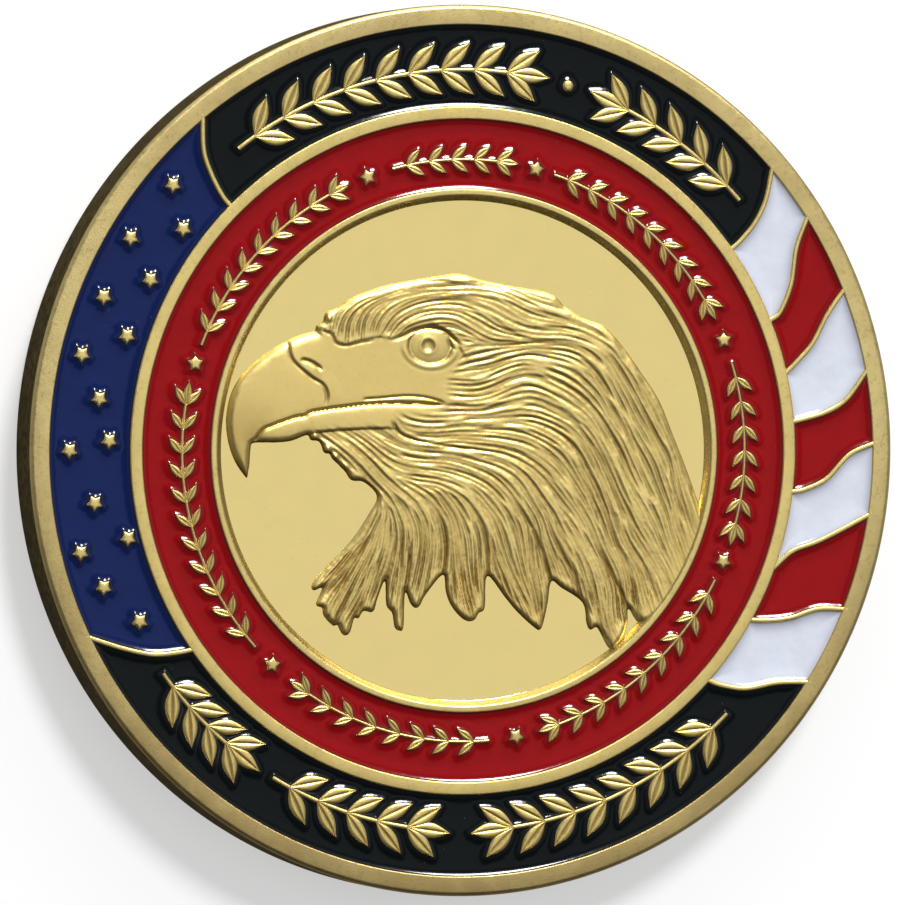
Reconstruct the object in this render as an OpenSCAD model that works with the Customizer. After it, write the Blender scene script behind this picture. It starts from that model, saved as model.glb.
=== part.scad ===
// Challenge coin, 40 mm across, struck from one metal blank.
// The face has a raised rim, an outer band of enamel cells, a ring of red enamel and a
// bright centre with an eagle's head in relief. The back is plain struck metal.
// It lies flat with the eagle side up: +Z is up, +Y is the top of the design and the
// origin is the centre of the lower rim plane.

/* [Blank] */
// Outside diameter of the coin
coin_d = 40; // [39.6:0.2:42]
// Thickness measured over both rims
coin_t = 3; // [2.8:0.1:3.4]
// Width of the raised rim's flat, bevel included
rim_w = 0.9; // [0.7:0.1:1.1]
// Bevel on the coin's outer corners
edge_bevel = 0.14; // [0.08:0.02:0.2]

/* [Rings] */
// Outer radius of the gold ring inside the enamel band
ring_r = 15.45; // [15.2:0.05:15.6]
// Width of that ring
ring_w = 0.58; // [0.45:0.01:0.7]
// Outer radius of the small ring around the eagle
inner_ring_r = 11.75; // [11.7:0.05:11.9]
// Flat width of the small ring
inner_ring_w = 0.29; // [0.2:0.01:0.34]
// Width of the slope from the small ring down to the eagle's field
inner_slope_w = 0.22; // [0.18:0.02:0.3]

/* [Depths below the upper rim plane] */
// Floor of the enamel cells
cell_depth = 0.45; // [0.35:0.05:0.55]
// Surface of the enamel
enamel_drop = 0.2; // [0.1:0.05:0.25]
// Field behind the eagle
field_depth = 0.34; // [0.32:0.02:0.42]
// Top of the eagle's face and beak
face_drop = 0.11; // [0.1:0.01:0.14]
// Top of the eagle's feathers and brow
feather_drop = 0.06; // [0.04:0.01:0.08]

/* [Enamel band] */
// Width of the metal line between two cells
line_w = 0.24; // [0.2:0.02:0.3]
// Point radius of the stars in the blue cell
blue_star_r = 0.42; // [0.36:0.02:0.46]
// Point radius of the stars in the red ring
ring_star_r = 0.4; // [0.36:0.02:0.44]

/* [Laurel ornament] */
// Leaf length in the black cells
band_leaf = 1.85; // [1.6:0.05:1.95]
// Leaf length in the red ring
ring_leaf = 0.96; // [0.8:0.02:1]
// Width of a leaf as a share of its length
leaf_share = 0.38; // [0.3:0.02:0.4]
// Angle between a leaf and its stem
leaf_spread = 38; // [34:1:42]

/* [Eagle] */
// Width of the grooves between feathers
groove_w = 0.12; // [0.08:0.02:0.14]
// Depth of the grooves between feathers
groove_depth = 0.1; // [0.06:0.02:0.12]
// Half the width of the eye
eye_r = 0.99; // [0.91:0.02:1.01]

/* [Back] */
// Depth of the back's field
back_depth = 0.4; // [0.3:0.05:0.5]
// Height of the back's relief
back_relief = 0.28; // [0.2:0.02:0.3]
// Point radius of the star on the back
back_star_r = 6.4; // [5.6:0.2:7]

/* [Hidden] */
$fn = 96;
// Margin by which a cutting shape runs past the face it cuts
over = 0.5;
// Smoothing steps between two points of a curve
steps = 3;
// Pieces in each side of a leaf
leaf_steps = 8;
coin_r = coin_d / 2;
rim_r = coin_r - rim_w;
red_outer_r = ring_r - ring_w;
slope_r = inner_ring_r - inner_ring_w;
field_r = slope_r - inner_slope_w;
cell_z = coin_t - cell_depth;
enamel_z = coin_t - enamel_drop;
field_z = coin_t - field_depth;
face_z = coin_t - face_drop;
feather_z = coin_t - feather_drop;
// The ornament's circles lie this far inside the middle of the band and of the red ring
band_inset = 0.2;
ring_inset = 0.25;
band_mid_r = (ring_r + rim_r) / 2 - band_inset;
ring_mid_r = (inner_ring_r + red_outer_r) / 2 - ring_inset;
band_stem_w = 0.22;
ring_stem_w = 0.15;
berry_r = 0.27;
// Angle of the berry between the two sprigs at the top, clockwise
berry_angle = 11.8;
// Radius of a star's notches as a share of its points'
star_share = 0.6;
// A sprig's first pair of leaves is this share of the pitch from the stem's start
first_pair = 0.6;
// Leaf lengths from a sprig's last pair to its end, and those the stem runs on past that pair
last_gap = 1.1;
stem_run = 0.3;
// Height of the eye as a share of its width
eye_flat = 0.79;
pupil_r = 0.32;
// The back's star, wreath and ring
back_star_share = 0.42;
wreath_r = 13.2;
wreath_pairs = 10;
wreath_start = 168;
wreath_pitch = 15.4;
wreath_leaf = 3.7;
wreath_stem_w = 0.308;
// Distance in from the rim to the outside of the back's ring, and the ring's width
back_ring_gap = 0.9;
back_ring_w = 0.3;
gold = [0.80, 0.69, 0.42];
black = [0.06, 0.07, 0.08];
white = [0.86, 0.87, 0.91];
red = [0.66, 0.07, 0.09];
blue = [0.10, 0.16, 0.42];

// Lines between the band's cells, clockwise from the top. Each is a list of angles at
// the shares of the band's width in line_share, from the ring out to the rim.
line_share = [0, 0.15, 0.42, 0.7, 1];
lines = [
  [49.4, 49.2, 48.4, 46.8, 44.2],
  [63.2, 62.6, 59.4, 55, 52.4],
  [72.4, 71.2, 69, 65.8, 63.5],
  [80.8, 80.5, 79.8, 78.3, 75],
  [92.6, 92, 90, 86.3, 84.8],
  [105.4, 102.2, 99.8, 97.2, 94.6],
  [115.4, 114.4, 112.2, 109.2, 107.8],
  [128, 127.2, 125, 121.4, 119],
  [230.6, 231.5, 233.4, 236.4, 239.8],
  [310.8, 311, 312, 313.5, 316.2],
];

// Stars in the blue cell, as angle clockwise from the top and radius
blue_stars = [
  [238.8, 16.8], [245.6, 17.7], [251.3, 18.25], [251.6, 16], [257.9, 17.2],
  [265.7, 18.2], [267.2, 16.4], [273.5, 17], [279.3, 18.15], [283.8, 16.4],
  [288, 18], [293.3, 16.4], [297.2, 18.1], [302.8, 16.35], [306.9, 17.95],
];
ring_stars = [10.1, 63.2, 108.2, 165.2, 218.7, 283, 335.3];

// Laurel sprigs, as start angle, end angle and number of leaf pairs. The leaves point
// from the start to the end.
top_sprigs = [[-42.3, 8.7, 9], [44.2, 15.2, 5]];
bottom_sprigs = [[230.2, 209.2, 4], [207, 178, 5], [129.8, 174.8, 8]];
ring_sprigs = [
  [-19.4, 6.4, 5], [14, 58.8, 9], [68, 104.8, 7], [112.2, 160.6, 9],
  [170.8, 213.8, 8], [223.6, 279.2, 11], [286.8, 331.2, 9],
];

// Outline of the eagle's head, clockwise from the tip of the beak
beak_edge = [
  [-9.9, -2], [-10.45, -1.35], [-10.8, -0.65], [-11, 0.1], [-11.05, 0.8], [-10.95, 1.6],
  [-10.65, 2.35], [-10.1, 3.05], [-9.5, 3.6], [-8.9, 4.05], [-8, 4.55], [-7.15, 4.85],
];
crown_edge = [
  [-7.25, 5.05], [-6.95, 5.25], [-6.85, 5.65], [-6.4, 5.9], [-5.75, 6.4], [-4.9, 6.8],
  [-4, 7.15], [-2, 7.65], [-0.8, 7.88], [0.4, 7.65], [1.9, 7.5], [3.1, 7.4], [3.8, 7.2],
];
nape_edge = [
  [4.1, 6.85], [5.1, 6.35], [6.1, 6.05], [7, 5.25], [8, 4.1], [8.9, 2.95], [9.6, 1.6],
  [10.4, 0], [11, -1.3], [11.6, -2.6],
];
locks_edge = [
  [11.4, -4.6], [10, -6.4], [8.85, -7.15], [8.2, -6.5], [8.2, -7.2], [8, -7.9], [7.5, -8.4],
  [6.95, -7.65], [6.75, -7.45], [6.5, -7.6], [6.3, -7.3], [6.05, -6.4], [5, -5.8], [4.5, -5.55],
  [4.4, -6.6], [4.2, -7.7], [3.85, -7.65], [3, -7], [2.4, -6.4], [1.5, -5.5], [1.5, -6.95],
  [1.25, -7.2], [1.05, -7.55], [0.7, -7.6], [0.3, -7.35], [-0.1, -6.9], [-0.35, -6.35],
  [-0.55, -5.6], [-1.3, -6.6], [-1.5, -7.05], [-1.7, -7.2], [-1.95, -7], [-2.25, -6.5],
  [-2.2, -8.1], [-2.4, -8.25], [-2.6, -8.1], [-2.75, -7.5], [-3.05, -7.15], [-3.2, -6.05],
  [-3.5, -6.9], [-3.65, -7.5], [-4.1, -7.5], [-4.3, -7.85], [-4.5, -7.85], [-4.65, -8.5],
  [-4.9, -8.65], [-5.1, -8.45], [-5.25, -8.2], [-5.45, -8.25], [-5.9, -7.85], [-6, -7.5],
  [-6.3, -7.35], [-6.05, -6.6], [-6.45, -6.75], [-6.55, -6.5], [-6.2, -5.95], [-4.9, -4.4],
  [-4.2, -3.2], [-3.85, -2.35], [-4.5, -1.75], [-5.1, -1.7], [-5.45, -1.3], [-6, -0.85],
  [-6.2, -0.6], [-6.45, -0.55], [-6.7, -0.1], [-7.1, -0.05], [-7.3, 0.15], [-8, -0.15],
  [-8.7, -0.28], [-9.7, -0.37], [-9.85, -0.6], [-9.85, -1.3],
];
// The smooth part of the head: beak, cheek and lower bill
face_edge = [
  [-7.15, 4.85], [-6.6, 4.75], [-6.35, 4.35], [-5.9, 4.25], [-5.2, 4.5], [-4.4, 4.72],
  [-3.75, 4.68], [-2.9, 5.2], [-2, 5.5], [-1.2, 5.2], [-0.7, 4.6], [-0.4, 4.2], [-0.8, 3.6],
  [-1.2, 2.9], [-0.9, 2.1], [-1.1, 1.7], [-2, 1.4], [-3.3, 1.3], [-3.5, 0.75], [-4.8, 0.65],
  [-6.2, 0.45], [-7.35, 0.2],
];
mouth_line = [
  [-9.72, -0.3], [-9.4, 0.2], [-9, 0.43], [-8, 0.87], [-7.5, 1], [-7.1, 1.22], [-5, 1.67],
  [-3.5, 1.87], [-1, 1.98],
];
lip_line = [[-5, 1.92], [-4.2, 2.03], [-2.9, 2.23], [-1.9, 2.22], [-1, 2.03]];
cere_line = [
  [-8.5, 4.2], [-8.45, 3.8], [-8.2, 3.35], [-7.4, 2.75], [-6.8, 2.45], [-6.55, 2], [-6.6, 1.5],
];
nostril_line = [[-7.9, 3.5], [-7.5, 3.43], [-7.15, 3.27], [-6.9, 3.1]];
lid_line = [
  [-3.75, 4.65], [-3.2, 4.92], [-2.77, 5.16], [-2.32, 5.33], [-1.97, 5.38], [-1.5, 5.33],
  [-1.2, 5.18], [-0.9, 4.95], [-0.64, 4.75], [-0.36, 4.63],
];
eye_at = [-1.98, 4.55];
pupil_at = [-2.07, 4.56];
feather_lines = [
  [[-6.4, 5.1], [-6.3, 5.75], [-5.8, 6.15]],
  [[-5.9, 4.6], [-5.85, 5.5], [-5.3, 6.25], [-4.4, 6.75]],
  [[-5.2, 4.8], [-5.1, 5.6], [-4.5, 6.4], [-3.4, 6.9], [-2, 7.1]],
  [[-4.6, 4.95], [-4.3, 5.7], [-3.6, 6.3], [-2.4, 6.7], [-0.8, 6.75]],
  [[-4, 5], [-3.6, 5.6], [-2.8, 6.05], [-1.8, 6.2], [-0.9, 6.1]],
  [[-3, 7.1], [-1.5, 7.35], [0.2, 7.2], [1.8, 6.9], [3.2, 6.5]],
  [[-0.6, 6.85], [0.8, 6.65], [2.2, 6.2], [3.6, 6]],
  [[-0.8, 6.4], [0.3, 6.1], [1.3, 5.6], [2.4, 5.35], [3.8, 5.4]],
  [[-0.7, 5.9], [0.2, 5.4], [0.9, 5], [1.9, 4.85]],
  [[2, 7.15], [3.6, 6.55], [5.2, 5.9], [6.4, 5.1], [7.3, 4.2]],
  [[2.4, 5.8], [4, 5.75], [5.4, 5.2], [6.6, 4.3], [7.5, 3.2]],
  [[-0.2, 4.25], [0.9, 4.55], [2.2, 4.75], [3.6, 5.05], [5, 4.75], [6.3, 3.9], [7.2, 2.9]],
  [[-0.5, 3.8], [0.4, 4.1], [1.8, 4.4], [3.2, 4.6], [4.6, 4.35], [6, 3.6], [7.1, 2.4]],
  [[-0.7, 3.4], [0.6, 3.65], [1.8, 4.05], [3.2, 4.2], [4.6, 3.85], [6, 3.05], [7.1, 1.9]],
  [[-0.9, 3.05], [0.4, 3.15], [1.6, 3.6], [2.8, 3.8], [4.2, 3.5], [5.6, 2.8], [6.8, 1.7]],
  [[-1.1, 2.7], [0.3, 2.75], [1.5, 3.1], [2.6, 3.4], [4, 3.1], [5.4, 2.4], [6.6, 1.3]],
  [[-0.8, 2.4], [0.5, 2.35], [1.7, 2.65], [3, 2.95], [4.4, 2.6], [5.8, 1.8], [6.9, 0.6]],
  [[-0.6, 2.02], [0.6, 1.95], [1.8, 2.2], [3.2, 2.4], [4.6, 2], [6, 1.1], [7, -0.1]],
  [[-0.7, 1.6], [0.6, 1.55], [1.9, 1.75], [3.2, 1.85], [4.6, 1.4], [5.9, 0.5], [6.9, -0.8]],
  [[-2, 1.25], [-0.6, 1.15], [0.8, 1.2], [2.2, 1.35], [3.6, 1], [5, 0.3], [6.1, -0.8], [6.8, -2]],
  [[-2.7, 0.9], [-1.2, 0.75], [0.4, 0.75], [2, 0.8], [3.4, 0.45], [4.7, -0.4], [5.7, -1.6]],
  [[-3.3, 1], [-2.9, 0.5], [-1.6, 0.25], [0, 0.25], [1.6, 0.25], [3, -0.2], [4.2, -1.1], [5.2, -2.4]],
  [[-4.3, 0.5], [-3, -0.05], [-1.4, -0.25], [0.2, -0.25], [1.6, -0.5], [2.9, -1.2], [3.9, -2.4]],
  [[-5, 0.35], [-3.8, -0.35], [-2.4, -0.75], [-0.8, -0.8], [0.6, -1], [1.9, -1.7], [2.9, -2.9]],
  [[-5.6, 0.3], [-4.6, -0.45], [-3.4, -1.1], [-2.2, -1.4], [-0.9, -1.5], [0.3, -1.9], [1.3, -2.9]],
  [[-6.2, 0.1], [-5.3, -0.75], [-4.3, -1.6], [-3.3, -2.6], [-2.7, -3.8], [-2.6, -5]],
  [[-4.2, -0.95], [-3.2, -1.9], [-2.2, -2.8], [-1.6, -4], [-1.5, -5.4], [-1.6, -6.5]],
  [[-2.6, -1.6], [-1.6, -2.3], [-0.95, -3.3], [-0.7, -4.3], [-0.7, -5.2]],
  [[-1, -1.95], [-0.2, -2.9], [0.1, -4.1], [0.3, -5.4], [0.6, -6.8]],
  [[0.3, -2.5], [0.8, -3.4], [1.05, -4.6], [1.1, -6]],
  [[-3.9, -3.1], [-4.5, -4.2], [-5.3, -5.35], [-6, -6.3]],
  [[-3.6, -3.2], [-4, -4.6], [-4.6, -6], [-5, -7.4]],
  [[-3.3, -3.4], [-3.45, -4.8], [-3.9, -6.4]],
  [[1.6, -3.2], [2.1, -4.4], [2.8, -5.6], [3.6, -6.9]],
  [[3.1, -3.4], [3.5, -4.6], [3.8, -5.8], [4, -6.9]],
  [[4.1, -2.7], [4.7, -3.9], [5.5, -5], [6.6, -6.6]],
  [[5.3, -2.8], [6, -3.9], [6.9, -5.1], [7.5, -6.6]],
  [[6, -1.9], [6.7, -3.2], [7.5, -4.6], [8.1, -6]],
  [[7, -2.2], [7.6, -3.4], [8.3, -4.7], [9, -6]],
  [[7.1, -0.9], [7.8, -2.2], [8.5, -3.6], [9.3, -4.9]],
  [[7.2, 0.4], [8, -0.9], [8.7, -2.3], [9.4, -3.7]],
  [[7.3, 1.7], [8.2, 0.3], [9, -1.2], [9.7, -2.8]],
  [[7.5, 2.8], [8.3, 1.6], [9.1, 0.1], [9.8, -1.5]],
  [[7, 4.6], [8, 3.3], [8.8, 1.9], [9.6, 0.3], [10.2, -1.1]],
];

function catmull(a, b, c, d, t) =
  0.5 * (2 * b + (c - a) * t + (2 * a - 5 * b + 4 * c - d) * t * t + (3 * b - a - 3 * c + d) * t * t * t);
// Smooth open curve through the points p, with n pieces between each two
function smooth(p, n = steps) = [
  for (i = [0:len(p) - 2])
    for (j = [0:n - 1])
      catmull(p[max(i - 1, 0)], p[i], p[i + 1], p[min(i + 2, len(p) - 1)], j / n),
  p[len(p) - 1]
];
function back_to_front(p) = [for (i = [len(p) - 1:-1:0]) p[i]];
// The curve p moved sideways by d
function beside(p, d) = [
  for (i = [0:len(p) - 1])
    let (t = p[min(i + 1, len(p) - 1)] - p[max(i - 1, 0)])
      p[i] + d * [-t[1], t[0]] / norm(t)
];
function on_circle(angle, r) = [r * sin(angle), r * cos(angle)];
function line_r(share) = ring_r + share * (rim_r - ring_r);
// Line k of the band as a curve, run past the ring and the rim
function cell_line(k) =
  let (
    p = smooth([for (i = [0:len(line_share) - 1]) on_circle(lines[k][i], line_r(line_share[i]))]),
    n = len(p) - 1
  )
    concat([p[0] + (p[0] - p[1]) * 2], p, [p[n] + (p[n] - p[n - 1]) * 2]);

module ribbon(p, w) {
  polygon(concat(beside(p, w / 2), back_to_front(beside(p, -w / 2))));
}

module flat_ring(r_out, r_in) {
  difference() {
    circle(r_out);
    circle(r_in);
  }
}

// The cell between line a and line b, clockwise
module band_cell(a, b) {
  turn = (lines[b][4] - lines[a][4] + 360) % 360;
  far = [for (i = [1:5]) on_circle(lines[a][4] + turn * i / 6, coin_r * 1.2)];
  intersection() {
    flat_ring(rim_r, ring_r);
    polygon(concat(beside(cell_line(a), -line_w / 2), far, back_to_front(beside(cell_line(b), line_w / 2))));
  }
}

module star(r, share = star_share) {
  polygon([for (i = [0:9]) on_circle(i * 36, i % 2 == 0 ? r : r * share)]);
}

// Leaf along +X from its root at the origin, widest in the middle
module leaf(length) {
  w = length * leaf_share;
  edge = [for (i = [1:leaf_steps - 1]) let (t = i / leaf_steps) [t * length, w / 2 * sin(180 * t)]];
  polygon(concat([[0, 0]], edge, [[length, 0]], [for (p = back_to_front(edge)) [p[0], -p[1]]]));
}

module stem(a, b, r, w) {
  low = min(a, b);
  turn = abs(b - a);
  intersection() {
    flat_ring(r + w / 2, r - w / 2);
    polygon(concat([[0, 0]], [for (i = [0:8]) on_circle(low + turn * i / 8, r * 1.3)]));
  }
}

// Stem with pairs of leaves along a circle of radius r, ending in a single leaf
module sprig(from, to, pairs, r, length, w) {
  way = to > from ? 1 : -1;
  tip = length / r * 180 / PI;
  last = to - way * tip * last_gap;
  pitch = (last - from) / (pairs - 1 + first_pair);
  stem(from, last + way * tip * stem_run, r, w);
  for (i = [0:pairs - 1])
    rotate(-(from + pitch * (i + first_pair)))
      translate([0, r])
        rotate(way > 0 ? 0 : 180) {
          rotate(leaf_spread) leaf(length);
          rotate(-leaf_spread) leaf(length);
        }
  rotate(way * tip - to) translate([0, r]) rotate(way > 0 ? 0 : 180) leaf(length);
}

module band_sprigs(list) {
  for (s = list) sprig(s[0], s[1], s[2], band_mid_r, band_leaf, band_stem_w);
}

module black_top_shape() {
  difference() {
    band_cell(9, 0);
    band_sprigs(top_sprigs);
    rotate(-berry_angle) translate([0, band_mid_r]) circle(berry_r);
  }
}

module black_bottom_shape() {
  difference() {
    band_cell(7, 8);
    band_sprigs(bottom_sprigs);
  }
}

module blue_shape() {
  difference() {
    band_cell(8, 9);
    for (s = blue_stars) translate(on_circle(s[0], s[1])) rotate(180) star(blue_star_r);
  }
}

module red_ring_shape() {
  difference() {
    flat_ring(red_outer_r, inner_ring_r);
    for (s = ring_sprigs) sprig(s[0], s[1], s[2], ring_mid_r, ring_leaf, ring_stem_w);
    for (a = ring_stars) rotate(-a) translate([0, ring_mid_r]) star(ring_star_r);
  }
}

module enamel(tint) {
  color(tint) translate([0, 0, cell_z]) linear_extrude(enamel_z - cell_z) children();
}

module cell_cut() {
  translate([0, 0, cell_z]) linear_extrude(cell_depth + over) children();
}

module head_shape() {
  intersection() {
    circle(slope_r);
    polygon(concat(smooth(beak_edge, 2), smooth(crown_edge, 2), smooth(nape_edge, 2), locks_edge));
  }
}

// The head without its smooth face, parted by the grooves between the feathers
module feather_shape() {
  difference() {
    head_shape();
    polygon(concat([[-12, 5.1]], face_edge, [[-7.5, -0.6], [-8, -2.6], [-12, -2.6]]));
    for (p = feather_lines) ribbon(smooth(p), groove_w);
  }
}

module eye_shape(r) {
  translate(eye_at) scale([1, eye_flat]) circle(r);
}

module face_grooves() {
  ribbon(smooth(mouth_line), groove_w);
  ribbon(smooth(lip_line), groove_w);
  ribbon(smooth(cere_line), groove_w);
  ribbon(smooth(nostril_line), groove_w);
  difference() {
    eye_shape(eye_r);
    eye_shape(eye_r - groove_w);
  }
}

// A shape that stands on the bottoms of the grooves
module relief(top) {
  translate([0, 0, face_z - groove_depth]) linear_extrude(top - face_z + groove_depth) children();
}

module eagle() {
  translate([0, 0, field_z - over / 2]) linear_extrude(face_z - field_z - groove_depth + over / 2) head_shape();
  relief(face_z)
    difference() {
      head_shape();
      face_grooves();
    }
  relief(feather_z) feather_shape();
  relief(feather_z)
    difference() {
      eye_shape(eye_r - groove_w);
      translate(pupil_at) circle(pupil_r);
    }
  relief(feather_z) ribbon(smooth(lid_line), groove_w);
}

// The blank turned in one piece: rims, edge bevels, field with its slope, and back field
module blank() {
  rotate_extrude()
    polygon([
      [0, back_depth],
      [rim_r, back_depth],
      [rim_r, 0],
      [coin_r - edge_bevel, 0],
      [coin_r, edge_bevel],
      [coin_r, coin_t - edge_bevel],
      [coin_r - edge_bevel, coin_t],
      [slope_r, coin_t],
      [field_r, field_z],
      [0, field_z]
    ]);
}

module back_relief_shape() {
  star(back_star_r, back_star_share);
  for (side = [0, 1])
    mirror([side, 0])
      for (i = [0:wreath_pairs - 1])
        rotate(wreath_pitch * i - wreath_start)
          translate([0, wreath_r])
            rotate(180) {
              rotate(leaf_spread) leaf(wreath_leaf);
              rotate(-leaf_spread) leaf(wreath_leaf);
            }
  stem(20, 340, wreath_r, wreath_stem_w);
  flat_ring(rim_r - back_ring_gap, rim_r - back_ring_gap - back_ring_w);
}

// Struck metal blank with the rims, the cell walls, the ornament and the eagle
module coin_body() {
  color(gold) {
    difference() {
      blank();
      cell_cut() black_top_shape();
      cell_cut() black_bottom_shape();
      cell_cut() blue_shape();
      cell_cut() red_ring_shape();
      for (k = [0:6]) cell_cut() band_cell(k, k + 1);
    }
    eagle();
    translate([0, 0, back_depth - back_relief]) linear_extrude(back_relief + over / 2) back_relief_shape();
  }
}

module enamel_black_top() {
  enamel(black) black_top_shape();
}

module enamel_black_bottom() {
  enamel(black) black_bottom_shape();
}

module enamel_blue() {
  enamel(blue) blue_shape();
}

module enamel_red_ring() {
  enamel(red) red_ring_shape();
}

module stripe_white_1() {
  enamel(white) band_cell(0, 1);
}

module stripe_red_1() {
  enamel(red) band_cell(1, 2);
}

module stripe_white_2() {
  enamel(white) band_cell(2, 3);
}

module stripe_red_2() {
  enamel(red) band_cell(3, 4);
}

module stripe_white_3() {
  enamel(white) band_cell(4, 5);
}

module stripe_red_3() {
  enamel(red) band_cell(5, 6);
}

module stripe_white_4() {
  enamel(white) band_cell(6, 7);
}

coin_body();
enamel_black_top();
enamel_black_bottom();
enamel_blue();
enamel_red_ring();
stripe_white_1();
stripe_red_1();
stripe_white_2();
stripe_red_2();
stripe_white_3();
stripe_red_3();
stripe_white_4();
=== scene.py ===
"""Looks for the challenge coin: an enamelled gold coin with an eagle's head in relief.

The shapes are worked out in millimetres, +Z up and +Y towards the top of the design, with the
origin at the centre of the lower rim plane. Angles on the coin run clockwise from the top.
"""

import math
import random

import bpy
import numpy as np
from mathutils import Matrix, Vector


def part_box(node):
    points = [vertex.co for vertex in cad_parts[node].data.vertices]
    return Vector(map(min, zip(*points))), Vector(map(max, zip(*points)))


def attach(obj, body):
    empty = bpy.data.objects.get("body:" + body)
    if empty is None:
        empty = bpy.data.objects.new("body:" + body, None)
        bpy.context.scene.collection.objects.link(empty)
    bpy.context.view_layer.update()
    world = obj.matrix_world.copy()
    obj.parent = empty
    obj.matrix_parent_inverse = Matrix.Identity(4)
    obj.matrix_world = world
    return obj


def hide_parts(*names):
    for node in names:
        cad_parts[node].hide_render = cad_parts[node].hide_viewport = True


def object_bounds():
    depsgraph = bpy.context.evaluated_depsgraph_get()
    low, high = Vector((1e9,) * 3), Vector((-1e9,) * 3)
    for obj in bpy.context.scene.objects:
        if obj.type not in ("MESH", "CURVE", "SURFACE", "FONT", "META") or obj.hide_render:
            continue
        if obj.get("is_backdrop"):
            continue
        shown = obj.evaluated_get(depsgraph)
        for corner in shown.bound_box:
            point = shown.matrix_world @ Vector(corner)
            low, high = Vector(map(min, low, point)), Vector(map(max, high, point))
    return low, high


MM = 0.001

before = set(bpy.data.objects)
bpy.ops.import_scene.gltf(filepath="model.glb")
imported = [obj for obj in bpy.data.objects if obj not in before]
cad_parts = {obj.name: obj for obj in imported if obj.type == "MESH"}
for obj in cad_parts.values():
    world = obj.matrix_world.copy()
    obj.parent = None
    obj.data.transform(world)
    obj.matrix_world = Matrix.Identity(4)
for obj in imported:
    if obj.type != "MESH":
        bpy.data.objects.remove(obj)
cad_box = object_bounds()

# Sizes in mm, the same as the CAD part's
COIN_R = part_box("coin_body")[1].x / MM
COIN_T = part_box("coin_body")[1].z / MM
RIM_R = 19.1
BEVEL = 0.14
RING_R = 15.45
RED_R = 14.87
SMALL_RING_R = 11.75
SLOPE_R = 11.46
FIELD_R = 11.24
CELL_Z = 2.55
ENAMEL_Z = 2.8
FIELD_Z = 2.66
BACK_Z = 0.4
BACK_RELIEF = 0.28
LINE_W = 0.24
BLUE_STAR_R = 0.42
RING_STAR_R = 0.4
STAR_SHARE = 0.6
BAND_LEAF = 1.85
RING_LEAF = 0.96
BACK_LEAF = 3.7
LEAF_SHARE = 0.38
LEAF_SPREAD = 38
BAND_STEM_W = 0.22
RING_STEM_W = 0.15
BAND_MID_R = 17.075
RING_MID_R = 13.06
BERRY_ANGLE = 11.8
BERRY_R = 0.27
BACK_STAR_R = 6.4
BACK_STAR_SHARE = 0.42
WREATH_R = 13.2

# Lines between the band's cells, clockwise from the top: their angles at the shares of the
# band's width in LINE_SHARES, from the ring out to the rim
LINE_SHARES = [0, 0.15, 0.42, 0.7, 1]
LINES = [
    [49.4, 49.2, 48.4, 46.8, 44.2],
    [63.2, 62.6, 59.4, 55, 52.4],
    [72.4, 71.2, 69, 65.8, 63.5],
    [80.8, 80.5, 79.8, 78.3, 75],
    [92.6, 92, 90, 86.3, 84.8],
    [105.4, 102.2, 99.8, 97.2, 94.6],
    [115.4, 114.4, 112.2, 109.2, 107.8],
    [128, 127.2, 125, 121.4, 119],
    [230.6, 231.5, 233.4, 236.4, 239.8],
    [310.8, 311, 312, 313.5, 316.2],
]

# Stars of the blue field: angle and radius
BLUE_STARS = [
    [238.8, 16.8], [245.6, 17.7], [251.3, 18.25], [251.6, 16], [257.9, 17.2],
    [265.7, 18.2], [267.2, 16.4], [273.5, 17], [279.3, 18.15], [283.8, 16.4],
    [288, 18], [293.3, 16.4], [297.2, 18.1], [302.8, 16.35], [306.9, 17.95],
]

# Stars of the red ring: angle
RING_STARS = [10.1, 63.2, 108.2, 165.2, 218.7, 283, 335.3]

# Sprigs: the angles of the foot and of the tip, and the pairs of leaves
BAND_SPRIGS = [
    [-42.3, 8.7, 9], [44.2, 15.2, 5], [230.2, 209.2, 4], [207, 178, 5], [129.8, 174.8, 8],
]

RING_SPRIGS = [
    [-19.4, 6.4, 5], [14, 58.8, 9], [68, 104.8, 7], [112.2, 160.6, 9],
    [170.8, 213.8, 8], [223.6, 279.2, 11], [286.8, 331.2, 9],
]

# The eagle's outline, clockwise from the tip of its bill: bill, crown, nape and locks
BEAK_EDGE = [
    [-9.9, -2], [-10.45, -1.35], [-10.8, -0.65], [-11, 0.1], [-11.05, 0.8], [-10.95, 1.6],
    [-10.65, 2.35], [-10.1, 3.05], [-9.5, 3.6], [-8.9, 4.05], [-8, 4.55], [-7.15, 4.85],
]

CROWN_EDGE = [
    [-7.25, 5.05], [-6.95, 5.25], [-6.85, 5.65], [-6.4, 5.9], [-5.75, 6.4], [-4.9, 6.8],
    [-4, 7.15], [-2, 7.65], [-0.8, 7.88], [0.4, 7.65], [1.9, 7.5], [3.1, 7.4], [3.8, 7.2],
]

NAPE_EDGE = [
    [4.1, 6.85], [5.1, 6.35], [6.1, 6.05], [7, 5.25], [8, 4.1], [8.9, 2.95], [9.6, 1.6],
    [10.4, 0], [11, -1.3], [11.6, -2.6],
]

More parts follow.
